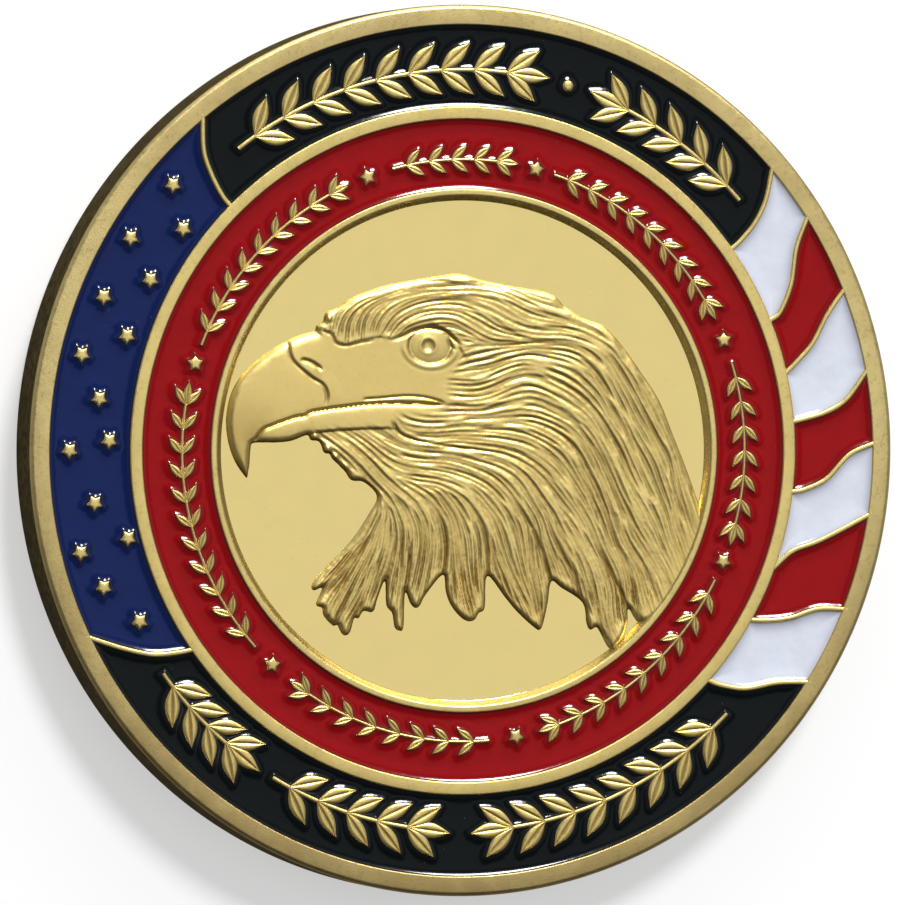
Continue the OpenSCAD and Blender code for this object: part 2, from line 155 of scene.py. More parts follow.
LOCKS_EDGE = [
    [11.4, -4.6], [10, -6.4], [8.85, -7.15], [8.2, -6.5], [8.2, -7.2], [8, -7.9], [7.5, -8.4],
    [6.95, -7.65], [6.75, -7.45], [6.5, -7.6], [6.3, -7.3], [6.05, -6.4], [5, -5.8], [4.5, -5.55],
    [4.4, -6.6], [4.2, -7.7], [3.85, -7.65], [3, -7], [2.4, -6.4], [1.5, -5.5], [1.5, -6.95],
    [1.25, -7.2], [1.05, -7.55], [0.7, -7.6], [0.3, -7.35], [-0.1, -6.9], [-0.35, -6.35],
    [-0.55, -5.6], [-1.3, -6.6], [-1.5, -7.05], [-1.7, -7.2], [-1.95, -7], [-2.25, -6.5],
    [-2.2, -8.1], [-2.4, -8.25], [-2.6, -8.1], [-2.75, -7.5], [-3.05, -7.15], [-3.2, -6.05],
    [-3.5, -6.9], [-3.65, -7.5], [-4.1, -7.5], [-4.3, -7.85], [-4.5, -7.85], [-4.65, -8.5],
    [-4.9, -8.65], [-5.1, -8.45], [-5.25, -8.2], [-5.45, -8.25], [-5.9, -7.85], [-6, -7.5],
    [-6.3, -7.35], [-6.05, -6.6], [-6.45, -6.75], [-6.55, -6.5], [-6.2, -5.95], [-4.9, -4.4],
    [-4.2, -3.2], [-3.85, -2.35], [-4.5, -1.75], [-5.1, -1.7], [-5.45, -1.3], [-6, -0.85],
    [-6.2, -0.6], [-6.45, -0.55], [-6.7, -0.1], [-7.1, -0.05], [-7.3, 0.15], [-8, -0.15],
    [-8.7, -0.28], [-9.7, -0.37], [-9.85, -0.6], [-9.85, -1.3],
]

# Where the feathers end at the bare face, from the forehead round to the chin
FACE_EDGE = [
    [-7.15, 4.85], [-6.6, 4.75], [-6.35, 4.35], [-5.9, 4.25], [-5.2, 4.5], [-4.4, 4.72],
    [-3.75, 4.68], [-2.9, 5.2], [-2, 5.5], [-1.2, 5.2], [-0.7, 4.6], [-0.4, 4.2], [-0.8, 3.6],
    [-1.2, 2.9], [-0.9, 2.1], [-1.1, 1.7], [-2, 1.4], [-3.3, 1.3], [-3.5, 0.75], [-4.8, 0.65],
    [-6.2, 0.45], [-7.35, 0.2],
]

# Lines of the face: mouth, lip over its corner, front of the cere, nostril and upper lid
MOUTH_LINE = [
    [-9.72, -0.3], [-9.4, 0.2], [-9, 0.43], [-8, 0.87], [-7.5, 1], [-7.1, 1.22], [-5, 1.67],
    [-3.5, 1.87], [-1, 1.98],
]

LIP_LINE = [[-5, 1.92], [-4.2, 2.03], [-2.9, 2.23], [-1.9, 2.22], [-1, 2.03]]

CERE_LINE = [
    [-8.5, 4.2], [-8.45, 3.8], [-8.2, 3.35], [-7.4, 2.75], [-6.8, 2.45], [-6.55, 2], [-6.6, 1.5],
]

NOSTRIL_LINE = [[-7.9, 3.5], [-7.5, 3.43], [-7.15, 3.27], [-6.9, 3.1]]

LID_LINE = [
    [-3.75, 4.65], [-3.2, 4.92], [-2.77, 5.16], [-2.32, 5.33], [-1.97, 5.38], [-1.5, 5.33],
    [-1.2, 5.18], [-0.9, 4.95], [-0.64, 4.75], [-0.36, 4.63],
]

# Guide lines along which the feathers lie, from root to tip
FEATHER_LINES = [
    [[-6.4, 5.1], [-6.3, 5.75], [-5.8, 6.15]],
    [[-5.9, 4.6], [-5.85, 5.5], [-5.3, 6.25], [-4.4, 6.75]],
    [[-5.2, 4.8], [-5.1, 5.6], [-4.5, 6.4], [-3.4, 6.9], [-2, 7.1]],
    [[-4.6, 4.95], [-4.3, 5.7], [-3.6, 6.3], [-2.4, 6.7], [-0.8, 6.75]],
    [[-4, 5], [-3.6, 5.6], [-2.8, 6.05], [-1.8, 6.2], [-0.9, 6.1]],
    [[-3, 7.1], [-1.5, 7.35], [0.2, 7.2], [1.8, 6.9], [3.2, 6.5]],
    [[-0.6, 6.85], [0.8, 6.65], [2.2, 6.2], [3.6, 6]],
    [[-0.8, 6.4], [0.3, 6.1], [1.3, 5.6], [2.4, 5.35], [3.8, 5.4]],
    [[-0.7, 5.9], [0.2, 5.4], [0.9, 5], [1.9, 4.85]],
    [[2, 7.15], [3.6, 6.55], [5.2, 5.9], [6.4, 5.1], [7.3, 4.2]],
    [[2.4, 5.8], [4, 5.75], [5.4, 5.2], [6.6, 4.3], [7.5, 3.2]],
    [[-0.2, 4.25], [0.9, 4.55], [2.2, 4.75], [3.6, 5.05], [5, 4.75], [6.3, 3.9], [7.2, 2.9]],
    [[-0.5, 3.8], [0.4, 4.1], [1.8, 4.4], [3.2, 4.6], [4.6, 4.35], [6, 3.6], [7.1, 2.4]],
    [[-0.7, 3.4], [0.6, 3.65], [1.8, 4.05], [3.2, 4.2], [4.6, 3.85], [6, 3.05], [7.1, 1.9]],
    [[-0.9, 3.05], [0.4, 3.15], [1.6, 3.6], [2.8, 3.8], [4.2, 3.5], [5.6, 2.8], [6.8, 1.7]],
    [[-1.1, 2.7], [0.3, 2.75], [1.5, 3.1], [2.6, 3.4], [4, 3.1], [5.4, 2.4], [6.6, 1.3]],
    [[-0.8, 2.4], [0.5, 2.35], [1.7, 2.65], [3, 2.95], [4.4, 2.6], [5.8, 1.8], [6.9, 0.6]],
    [[-0.6, 2.02], [0.6, 1.95], [1.8, 2.2], [3.2, 2.4], [4.6, 2], [6, 1.1], [7, -0.1]],
    [[-0.7, 1.6], [0.6, 1.55], [1.9, 1.75], [3.2, 1.85], [4.6, 1.4], [5.9, 0.5], [6.9, -0.8]],
    [[-2, 1.25], [-0.6, 1.15], [0.8, 1.2], [2.2, 1.35], [3.6, 1], [5, 0.3], [6.1, -0.8], [6.8, -2]],
    [[-2.7, 0.9], [-1.2, 0.75], [0.4, 0.75], [2, 0.8], [3.4, 0.45], [4.7, -0.4], [5.7, -1.6]],
    [[-3.3, 1], [-2.9, 0.5], [-1.6, 0.25], [0, 0.25], [1.6, 0.25], [3, -0.2], [4.2, -1.1], [5.2, -2.4]],
    [[-4.3, 0.5], [-3, -0.05], [-1.4, -0.25], [0.2, -0.25], [1.6, -0.5], [2.9, -1.2], [3.9, -2.4]],
    [[-5, 0.35], [-3.8, -0.35], [-2.4, -0.75], [-0.8, -0.8], [0.6, -1], [1.9, -1.7], [2.9, -2.9]],
    [[-5.6, 0.3], [-4.6, -0.45], [-3.4, -1.1], [-2.2, -1.4], [-0.9, -1.5], [0.3, -1.9], [1.3, -2.9]],
    [[-6.2, 0.1], [-5.3, -0.75], [-4.3, -1.6], [-3.3, -2.6], [-2.7, -3.8], [-2.6, -5]],
    [[-4.2, -0.95], [-3.2, -1.9], [-2.2, -2.8], [-1.6, -4], [-1.5, -5.4], [-1.6, -6.5]],
    [[-2.6, -1.6], [-1.6, -2.3], [-0.95, -3.3], [-0.7, -4.3], [-0.7, -5.2]],
    [[-1, -1.95], [-0.2, -2.9], [0.1, -4.1], [0.3, -5.4], [0.6, -6.8]],
    [[0.3, -2.5], [0.8, -3.4], [1.05, -4.6], [1.1, -6]],
    [[-3.9, -3.1], [-4.5, -4.2], [-5.3, -5.35], [-6, -6.3]],
    [[-3.6, -3.2], [-4, -4.6], [-4.6, -6], [-5, -7.4]],
    [[-3.3, -3.4], [-3.45, -4.8], [-3.9, -6.4]],
    [[1.6, -3.2], [2.1, -4.4], [2.8, -5.6], [3.6, -6.9]],
    [[3.1, -3.4], [3.5, -4.6], [3.8, -5.8], [4, -6.9]],
    [[4.1, -2.7], [4.7, -3.9], [5.5, -5], [6.6, -6.6]],
    [[5.3, -2.8], [6, -3.9], [6.9, -5.1], [7.5, -6.6]],
    [[6, -1.9], [6.7, -3.2], [7.5, -4.6], [8.1, -6]],
    [[7, -2.2], [7.6, -3.4], [8.3, -4.7], [9, -6]],
    [[7.1, -0.9], [7.8, -2.2], [8.5, -3.6], [9.3, -4.9]],
    [[7.2, 0.4], [8, -0.9], [8.7, -2.3], [9.4, -3.7]],
    [[7.3, 1.7], [8.2, 0.3], [9, -1.2], [9.7, -2.8]],
    [[7.5, 2.8], [8.3, 1.6], [9.1, 0.1], [9.8, -1.5]],
    [[7, 4.6], [8, 3.3], [8.8, 1.9], [9.6, 0.3], [10.2, -1.1]],
]

# Middle and radius of the eye, and the middle of its pupil
EYE_AT = (-1.98, 4.55)
EYE_R = 0.99
PUPIL_AT = (-2.07, 4.56)

# ---------------------------------------------------------------- curves and plane shapes

LEAF_PIECES = 8
# A sprig's bare foot, in pitches of its leaf pairs
SPRIG_FOOT = 0.6
# In leaf lengths: from a sprig's last pair to its end, and from the last pair to the end of its stem
END_LEAF_ROOM = 1.1
STEM_RUN = 0.3


def smooth(points, pieces):
    """A Catmull-Rom curve through the points, with that many pieces between each two."""
    p = np.array(points, float)
    p = np.vstack([p[:1], p, p[-1:]])
    a, b, c, d = p[:-3, None], p[1:-2, None], p[2:-1, None], p[3:, None]
    t = (np.arange(pieces) / pieces)[None, :, None]
    square = 2 * a - 5 * b + 4 * c - d
    cube = 3 * b - a - 3 * c + d
    curve = 0.5 * (2 * b + (c - a) * t + square * t**2 + cube * t**3)
    return np.vstack([curve.reshape(-1, 2), p[-1:]])


def on_circle(angle, r):
    """The point at that angle, clockwise from the top in degrees, and radius."""
    turn = np.radians(angle)
    return np.stack([r * np.sin(turn), r * np.cos(turn)], -1)


def clockwise(angle):
    """The direction of travel clockwise round the coin at that angle."""
    turn = math.radians(angle)
    return np.array([math.cos(turn), -math.sin(turn)])


def turned(v, degrees):
    """A vector turned counter-clockwise."""
    c, s = math.cos(math.radians(degrees)), math.sin(math.radians(degrees))
    return np.array([c * v[0] - s * v[1], s * v[0] + c * v[1]])


def normals_of(path):
    """Unit normals to the left of a path."""
    run = np.gradient(path, axis=0)
    run /= np.linalg.norm(run, axis=1)[:, None]
    return np.stack([-run[:, 1], run[:, 0]], 1)


def resampled(path, step):
    """The path with its points a step apart."""
    along = np.concatenate([[0], np.cumsum(np.hypot(*np.diff(path, axis=0).T))])
    at = np.linspace(0, along[-1], max(2, round(along[-1] / step) + 1))
    return np.stack([np.interp(at, along, path[:, k]) for k in (0, 1)], 1)


def line_path(k):
    """Line k between two cells, from the ring to the rim."""
    shares = np.array(LINE_SHARES)
    return smooth(on_circle(np.array(LINES[k]), RING_R + shares * (RIM_R - RING_R)), 8)


def line_angle(k, r):
    """The angle of line k at each of the radii r."""
    path = line_path(k)
    angles = np.degrees(np.arctan2(path[:, 0], path[:, 1])) % 360
    return np.interp(r, np.hypot(*path.T), angles)


def star_outline(centre, point_at, r, share):
    """A five-pointed star with one point in the direction point_at, clockwise."""
    heading = np.asarray(point_at, float) / np.linalg.norm(point_at)
    reaches = [r, r * share] * 5
    return np.array([centre + turned(heading, -36 * i) * reach for i, reach in enumerate(reaches)])


def leaf_outline(root, heading, length):
    """A leaf that starts at root."""
    t = np.linspace(0, 1, LEAF_PIECES + 1)[:, None]
    side = np.array([-heading[1], heading[0]])
    middle = root + heading * t * length
    half = LEAF_SHARE * length / 2 * np.sin(math.pi * t) * side
    return np.vstack([middle + half, (middle - half)[-2:0:-1]])


def arc_outline(start, end, r, width):
    """A stem of a sprig, along a circle."""
    angles = np.linspace(start, end, max(3, int(abs(end - start))))
    return np.vstack([on_circle(angles, r + width / 2), on_circle(angles[::-1], r - width / 2)])


def sprig(start, end, pairs, r, length):
    """A laurel sprig on a circle: its leaves as (root, heading), and the angles of its stem's ends."""
    way = 1 if end > start else -1
    tip = math.degrees(length / r)
    last = end - way * tip * END_LEAF_ROOM
    pitch = (last - start) / (pairs - 1 + SPRIG_FOOT)
    leaves = []
    for i in range(pairs):
        angle = start + pitch * (i + SPRIG_FOOT)
        for spread in (LEAF_SPREAD, -LEAF_SPREAD):
            leaves.append((on_circle(angle, r), turned(way * clockwise(angle), spread)))
    leaves.append((on_circle(end - way * tip, r), way * clockwise(end - way * tip)))
    return leaves, (start, last + way * tip * STEM_RUN)


# ---------------------------------------------------------------- fields on a regular grid

# Keeps a division by a length of zero harmless
TINY = 1e-9
# Samples stay this many steps off the end of a grid, inside its last cell
LAST_CELL = 1.001


class Grid:
    """A regular grid over a rectangle of the coin's face."""

    def __init__(self, low, high, step):
        self.step = step
        self.x = np.arange(low[0], high[0] + step, step)
        self.y = np.arange(low[1], high[1] + step, step)
        self.gx, self.gy = np.meshgrid(self.x, self.y)

    def window(self, p, q, reach):
        """The slices of the grid within reach of the segment from p to q."""
        slices = []
        for axis, values in ((1, self.y), (0, self.x)):
            low, high = sorted((p[axis], q[axis]))
            first = int((low - reach - values[0]) / self.step)
            last = int((high + reach - values[0]) / self.step) + 2
            slices.append(slice(max(first, 0), max(last, 0)))
        return tuple(slices)

    def segments(self, path, reach):
        """For each segment of a path: its window, and there the distance and the share along it."""
        for i in range(len(path) - 1):
            p, q = path[i], path[i + 1]
            w = self.window(p, q, reach)
            dx, dy = self.gx[w] - p[0], self.gy[w] - p[1]
            if dx.size == 0:
                continue
            run = q - p
            t = np.clip((dx * run[0] + dy * run[1]) / max(run @ run, TINY), 0, 1)
            yield i, w, np.hypot(dx - t * run[0], dy - t * run[1]), t

    def distance(self, path, reach, closed=False):
        """The distance to a path, cut off at reach."""
        path = np.asarray(path, float)
        if closed:
            path = np.vstack([path, path[:1]])
        found = np.full(self.gx.shape, float(reach))
        for _, w, d, _ in self.segments(path, reach):
            np.minimum(found[w], d, out=found[w])
        return found

    def side(self, path, reach):
        """The distance to a path, positive to its left and negative to its right, cut off at reach."""
        found = np.full(self.gx.shape, float(reach))
        sign = np.ones(self.gx.shape)
        for i, w, d, _ in self.segments(path, reach):
            run = path[i + 1] - path[i]
            left = run[0] * (self.gy[w] - path[i][1]) - run[1] * (self.gx[w] - path[i][0]) >= 0
            nearer = d < found[w] - TINY
            found[w] = np.where(nearer, d, found[w])
            sign[w] = np.where(nearer, np.where(left, 1.0, -1.0), sign[w])
        return found * sign

    def stroke(self, field, path, strength, half_width, profile):
        """Raises field to profile(distance / half_width) times the strength at each point of the path."""
        for i, w, d, t in self.segments(path, half_width):
            here = strength[i] + (strength[i + 1] - strength[i]) * t
            value = here * profile(np.minimum(d / half_width, 1))
            np.maximum(field[w], value, out=field[w])

    def inside(self, outline):
        """Whether each grid point lies inside a closed outline."""
        flips = np.zeros((len(self.y), len(self.x) + 1), bool)
        for p, q in zip(outline, np.roll(outline, -1, axis=0)):
            low, high = min(p[1], q[1]), max(p[1], q[1])
            rows = np.flatnonzero((self.y >= low) & (self.y < high))
            if len(rows):
                crossing = p[0] + (self.y[rows] - p[1]) * (q[0] - p[0]) / (q[1] - p[1])
                flips[rows, np.searchsorted(self.x, crossing)] ^= True
        return np.logical_xor.accumulate(flips, axis=1)[:, :-1]

    def signed(self, outline, reach):
        """The distance to a closed outline, positive inside, cut off at reach."""
        return self.distance(outline, reach, closed=True) * np.where(self.inside(outline), 1, -1)

    def sample(self, field, x, y):
        """The field's values at any points, between the grid's."""
        u = np.clip((np.asarray(x) - self.x[0]) / self.step, 0, len(self.x) - LAST_CELL)
        v = np.clip((np.asarray(y) - self.y[0]) / self.step, 0, len(self.y) - LAST_CELL)
        i, j = u.astype(int), v.astype(int)
        fu, fv = u - i, v - j
        low = field[j, i] * (1 - fu) + field[j, i + 1] * fu
        high = field[j + 1, i] * (1 - fu) + field[j + 1, i + 1] * fu
        return low * (1 - fv) + high * fv


def eased(value, start, width):
    """0 to 1 smoothly as value goes from start on over width, which is negative where it goes down."""
    t = np.clip((value - start) / width, 0, 1)
    return t * t * (3 - 2 * t)


def blurred(field, times):
    """The field after smoothing each point with its neighbours, that many times."""
    for _ in range(times):
        wide = np.pad(field, ((1, 1), (0, 0)), mode="edge")
        field = (wide[:-2] + 2 * field + wide[2:]) / 4
        wide = np.pad(field, ((0, 0), (1, 1)), mode="edge")
        field = (wide[:, :-2] + 2 * field + wide[:, 2:]) / 4
    return field


# ---------------------------------------------------------------- meshes

# Edges that turn by more than this, in degrees, are shaded sharp
SHARP_ANGLE = 48
LEAF_STATIONS = 13
# Half the width of a leaf's ends, and how far the ends sink in shares of the relief
LEAF_TIP = 0.012
LEAF_DROOP = 0.25
# Across a leaf from its left edge to its right: share of the half width, and how far below the
# top in shares of the relief. None is the leaf's base.
LEAF_SECTION = [
    (-1, None), (1, None), (1, 1.1), (0.93, 0.62), (0.78, 0.25), (0.5, 0.02), (0.25, 0.06), (0.1, 0.35),
    (0, 0.8), (-0.1, 0.35), (-0.25, 0.06), (-0.5, 0.02), (-0.78, 0.25), (-0.93, 0.62), (-1, 1.1),
]


def placed(name, data):
    """A new object in the scene."""
    thing = bpy.data.objects.new(name, data)
    bpy.context.scene.collection.objects.link(thing)
    return thing


def add_piece(name, points, faces, materials, nodes, slot, zones=None, flat=False, painted_shade=None):
    """A mesh from points in mm, fixed to the coin, that stands for CAD nodes.

    zones gives each face's material, and the last argument how much painted shade each point has, from 0 to
    1.
    """
    mesh = bpy.data.meshes.new(name)
    mesh.from_pydata((np.asarray(points, float) * MM).tolist(), [], faces)
    for material in materials:
        mesh.materials.append(material)
    if zones is not None:
        mesh.polygons.foreach_set("material_index", np.asarray(zones, np.int32))
    mesh.polygons.foreach_set("use_smooth", np.full(len(mesh.polygons), not flat))
    if not flat:
        mesh.set_sharp_from_angle(angle=math.radians(SHARP_ANGLE))
    if painted_shade is not None:
        attribute = mesh.attributes.new("painted_shade", "FLOAT", "POINT")
        attribute.data.foreach_set("value", np.asarray(painted_shade, np.float32))
    mesh.validate()
    piece = placed(name, mesh)
    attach(piece, "root")
    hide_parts(*nodes)


def grid_faces(rows, columns, closed_rows=False, closed_columns=False):
    """Quads over points listed row by row; in closed rows or columns the last point joins the first."""
    down = np.arange(rows if closed_columns else rows - 1)
    across = np.arange(columns if closed_rows else columns - 1)
    r, c = np.meshgrid(down, across, indexing="ij")
    here, below = r * columns, (r + 1) % rows * columns
    right = (c + 1) % columns
    quads = np.stack([here + c, here + right, below + right, below + c], -1)
    return [tuple(quad) for quad in quads.reshape(-1, 4).tolist()]


def ridge_section(base, top, foot, shoulder):
    """The (across, height) points of a ridge: half its width at the base, then (half width, drop) pairs."""
    left = [(-foot, base)] + [(-half, top - drop) for half, drop in shoulder]
    return left + [(-across, z) for across, z in left[::-1]]


class Solids:
    """Closed shapes gathered into one mesh of the coin's metal."""

    def __init__(self):
        self.points, self.faces = [], []

    def add(self, points, faces):
        start = len(self.points)
        self.points += [tuple(p) for p in points]
        self.faces += [tuple(start + i for i in face) for face in faces]

    def loft(self, sections):
        """A solid through a row of closed sections, each counter-clockwise as seen from the row's end."""
        n, m = len(sections), len(sections[0])
        ends = [tuple(range(m))[::-1], tuple(range((n - 1) * m, n * m))]
        self.add(np.concatenate(sections), grid_faces(n, m, closed_rows=True) + ends)

    def sweep(self, path, section):
        """A section of (across, height) points, clockwise as seen along a plane path, run along it."""
        run = zip(path, normals_of(path))
        self.loft([np.array([[*(p - side * across), z] for across, z in section]) for p, side in run])

    def hoop(self, r, section):
        """A section of (across, height) points run round a whole circle."""
        around = on_circle(np.arange(360), 1)
        points = [[*(p * (r - across)), z] for p in around for across, z in section]
        self.add(points, grid_faces(len(around), len(section), closed_rows=True, closed_columns=True))

    def dome(self, outline, centre, levels, peak):
        """A counter-clockwise outline drawn in to its centre at levels of (share, height), up to a peak."""
        n = len(outline)
        spokes = outline - centre
        rings = [np.column_stack([centre + spokes * share, np.full(n, z)]) for share, z in levels]
        last = (len(levels) - 1) * n
        faces = grid_faces(len(levels), n, closed_rows=True)
        faces += [(last + b, last + (b + 1) % n, last + n) for b in range(n)]
        faces.append(tuple(range(n))[::-1])
        self.add(np.vstack(rings + [[[*centre, peak]]]), faces)

    def leaf(self, root, heading, length, base, top, relief):
        """A leaf along heading with a vein down its middle; its edges sink by relief."""
        side = np.array([-heading[1], heading[0]])
        sections = []
        for t in np.linspace(0, 1, LEAF_STATIONS):
            middle = root + heading * t * length
            half = max(LEAF_SHARE * length / 2 * math.sin(math.pi * t), LEAF_TIP)
            crest = top - relief * LEAF_DROOP * (2 * t - 1) ** 2
            section = []
            for across, drop in LEAF_SECTION:
                z = base if drop is None else crest - drop * relief
                section.append([*(middle + side * half * across), z])
            sections.append(section)
        self.loft(np.array(sections))

    def flipped(self):
        """Turns the solids over, their base on the back's field."""
        self.points = [(x, y, BACK_Z - z) for x, y, z in self.points]
        self.faces = [face[::-1] for face in self.faces]

    def piece(self, name, material, **settings):
        add_piece(name, self.points, self.faces, [material], ["coin_body"], "gold_metal", **settings)


# ---------------------------------------------------------------- materials

# Noise patterns: scale per mm, detail, and where the pattern starts and ends rising
CLOUDS = (0.7, 4, 0.35, 0.7)
BLOTCHES = (5.5, 2, 0.52, 0.72)
FALL_CLOUDS = (0.35, 3, 0.2, 0.6)
METAL_SHINE = (3.1, 3, 0.3, 0.7)
ENAMEL_CLOUDS = (0.9, 3, 0.35, 0.7)
ENAMEL_SHINE = (2.3, 3, 0.3, 0.7)
NOISE_ROUGHNESS = 0.55
# Specks: how many per mm, and their size
METAL_SPECKS = (2.6, 0.07)
ENAMEL_DUST = (1.7, 0.035)
DUST_COLOUR = (0.4, 0.38, 0.34)
DUST_SHARE = 0.35
# Painted shade grows from this Y on over this distance: towards the foot of the design and, weaker, its top
FOOT_FALL = (7, -17)
TOP_FALL = (4, 15)
TOP_FALL_SHARE = 0.4
# How dark specks and the painted shade in creases are next to the deep tone, and enamel clouds next to the
# base tone
SPECK_TONE = 0.3
PAINTED_SHADE_TONE = 0.62
ENAMEL_CLOUD_TONE = 0.93
# How far the painted shade next to the metal takes enamel towards its deep tone
ENAMEL_EDGE_SHARE = 0.75
GRAIN_HEIGHT = 0.02


def add_node(tree, kind, inputs=None, **settings):
    """A shader node; each input is a value or another node's output."""
    node = tree.nodes.new(kind)
    for key, value in settings.items():
        setattr(node, key, value)
    for key, value in (inputs or {}).items():
        join(tree, node.inputs[key], value)
    return node


def join(tree, socket, value):
    """Gives an input a value, or links it to another node's output."""
    if isinstance(value, bpy.types.NodeSocket):
        tree.links.new(value, socket)
    else:
        socket.default_value = value


def toned(colour, share=1.0):
    """An opaque colour, darkened to a share."""
    return (*[value * share for value in colour], 1)


class Shader:
    """A material's nodes. Coordinates are the object's own, in mm."""

    def __init__(self, name):
        self.material = bpy.data.materials.new(name)
        self.material.use_nodes = True
        self.tree = self.material.node_tree
        self.bsdf = self.tree.nodes["Principled BSDF"]
        place = self.add("ShaderNodeTexCoord").outputs["Object"]
        scaled = self.add("ShaderNodeVectorMath", {0: place, "Scale": 1 / MM}, operation="SCALE")
        self.mm = scaled.outputs[0]

    def add(self, kind, inputs=None, **settings):
        return add_node(self.tree, kind, inputs, **settings)

    def noise(self, scale, detail):
        inputs = {"Vector": self.mm, "Scale": scale, "Detail": detail, "Roughness": NOISE_ROUGHNESS}
        return self.add("ShaderNodeTexNoise", inputs).outputs["Fac"]

    def pattern(self, shape, to_low=0.0, to_high=1.0):
        """A noise pattern that runs from to_low to to_high."""
        scale, detail, start, end = shape
        return self.ramp(self.noise(scale, detail), start, end, to_low, to_high)

    def specks(self, scale, size):
        """1 in the middle of scattered round specks, 0 elsewhere."""
        cells = self.add("ShaderNodeTexVoronoi", {"Vector": self.mm, "Scale": scale, "Randomness": 1.0})
        return self.ramp(cells.outputs["Distance"], size, size * 0.4)

    def ramp(self, value, start, end, to_low=0.0, to_high=1.0):
        """From to_low to to_high smoothly as value goes from start to end."""
        inputs = {"Value": value, "From Min": start, "From Max": end, "To Min": to_low, "To Max": to_high}
        return self.add("ShaderNodeMapRange", inputs, interpolation_type="SMOOTHSTEP").outputs[0]

    def maths(self, operation, a, b):
        return self.add("ShaderNodeMath", {0: a, 1: b}, operation=operation).outputs[0]

    def mix(self, share, a, b):
        """Colour a, and colour b by a share."""
        return self.add("ShaderNodeMix", {0: share, 6: a, 7: b}, data_type="RGBA").outputs[2]

    def painted_shade(self):
        """How much painted shade each point of the mesh has."""
        node = self.add("ShaderNodeAttribute", attribute_name="painted_shade", attribute_type="GEOMETRY")
        return node.outputs["Fac"]

    def bump(self, height, strength, distance, after=None):
        """The normal of a bumpy surface, on top of another bump's."""
        inputs = {"Height": height, "Strength": strength, "Distance": distance * MM}
        if after is not None:
            inputs["Normal"] = after
        return self.add("ShaderNodeBump", inputs).outputs["Normal"]

    def finished(self, inputs):
        """The material, with inputs of its surface set or linked."""
        for key, value in inputs.items():
            join(self.tree, self.bsdf.inputs[key], value)
        return self.material


def gold(name, base, deep, rough, grain, grain_size, clouds=0.1, spots=0.25, painted_shade=False, painted_fall=0.0):
    """Gold plate: cloudy tone, frosted grain, dull specks, painted shade falling towards the foot of the
    design and, in creases, painted shade.
    """
    s = Shader(name)
    tone = s.mix(s.pattern(CLOUDS), toned(base), toned(base, 1 - clouds))
    tone = s.mix(s.pattern(BLOTCHES, 0, clouds * 3), tone, toned(deep))
    speck = s.maths("MULTIPLY", s.specks(*METAL_SPECKS), spots)
    tone = s.mix(speck, tone, toned(deep, SPECK_TONE))
    # Painted shade, mottled, falling towards the foot of the design and, weaker, its top
    if painted_fall:
        y = s.add("ShaderNodeSeparateXYZ", {0: s.mm}).outputs["Y"]
        foot, top = s.ramp(y, *FOOT_FALL, 0, painted_fall), s.ramp(y, *TOP_FALL, 0, TOP_FALL_SHARE * painted_fall)
        fall_mask = s.maths("MULTIPLY", s.maths("MAXIMUM", foot, top), s.pattern(FALL_CLOUDS, 0.6, 1))
        tone = s.mix(fall_mask, tone, toned(deep))
    # Painted shade, where the mesh carries it
    if painted_shade:
        tone = s.mix(s.painted_shade(), tone, toned(deep, PAINTED_SHADE_TONE))
    return s.finished({
        "Base Color": tone,
        "Metallic": 1.0,
        "Roughness": s.pattern(METAL_SHINE, rough * 0.85, rough * 1.15),
        "Normal": s.bump(s.noise(grain_size, 2), grain, GRAIN_HEIGHT),
    })


def enamel(name, base, deep, level):
    """Poured enamel: glossy, faintly uneven and mottled, with painted shade next to the metal, where its
    coat is also glossier.
    """
    s = Shader(name)
    tone = s.mix(s.pattern(ENAMEL_CLOUDS), toned(base), toned(base, ENAMEL_CLOUD_TONE))
    # Painted shade next to the metal
    tone = s.mix(s.maths("MULTIPLY", s.painted_shade(), ENAMEL_EDGE_SHARE), tone, toned(deep))
    dust = s.maths("MULTIPLY", s.specks(*ENAMEL_DUST), DUST_SHARE)
    tone = s.mix(dust, tone, toned(DUST_COLOUR))
    swell = s.bump(s.noise(1.6, 1), 0.5, 0.03)
    return s.finished({
        "Base Color": tone,
        "Metallic": 0.0,
        "Roughness": s.pattern(ENAMEL_SHINE, 0.09, 0.16),
        "Specular IOR Level": level,
        "Coat Weight": s.ramp(s.painted_shade(), 0.25, 0.65, 0, 0.9),
        "Coat Roughness": 0.1,
        "Normal": s.bump(s.noise(14, 2), 0.25, 0.004, swell),
    })


# SATIN, RIM and EDGE get painted shade falling towards the foot of the design and, weaker, its top; FROSTED
# gets painted shade in its creases
SATIN = gold("gold_satin", (0.83, 0.66, 0.25), (0.46, 0.31, 0.09), 0.34, 0.35, 22, painted_fall=0.3)
RIM = gold("gold_rim", (0.76, 0.61, 0.26), (0.34, 0.24, 0.09), 0.36, 0.45, 20, 0.12, spots=0.5, painted_fall=0.75)
FROSTED = gold("gold_frosted", (0.87, 0.68, 0.25), (0.50, 0.29, 0.06), 0.37, 0.15, 14, 0.03, 0.03, True)
MIRROR = gold("gold_mirror", (0.745, 0.605, 0.243), (0.69, 0.56, 0.22), 0.07, 0.02, 3, 0.02, spots=0.6)
# The slope's gold is a darker copy of the satin gold: painted shade on the slope down to the field
SLOPE = gold("gold_slope", (0.62, 0.49, 0.19), (0.36, 0.24, 0.06), 0.3, 0.3, 20)
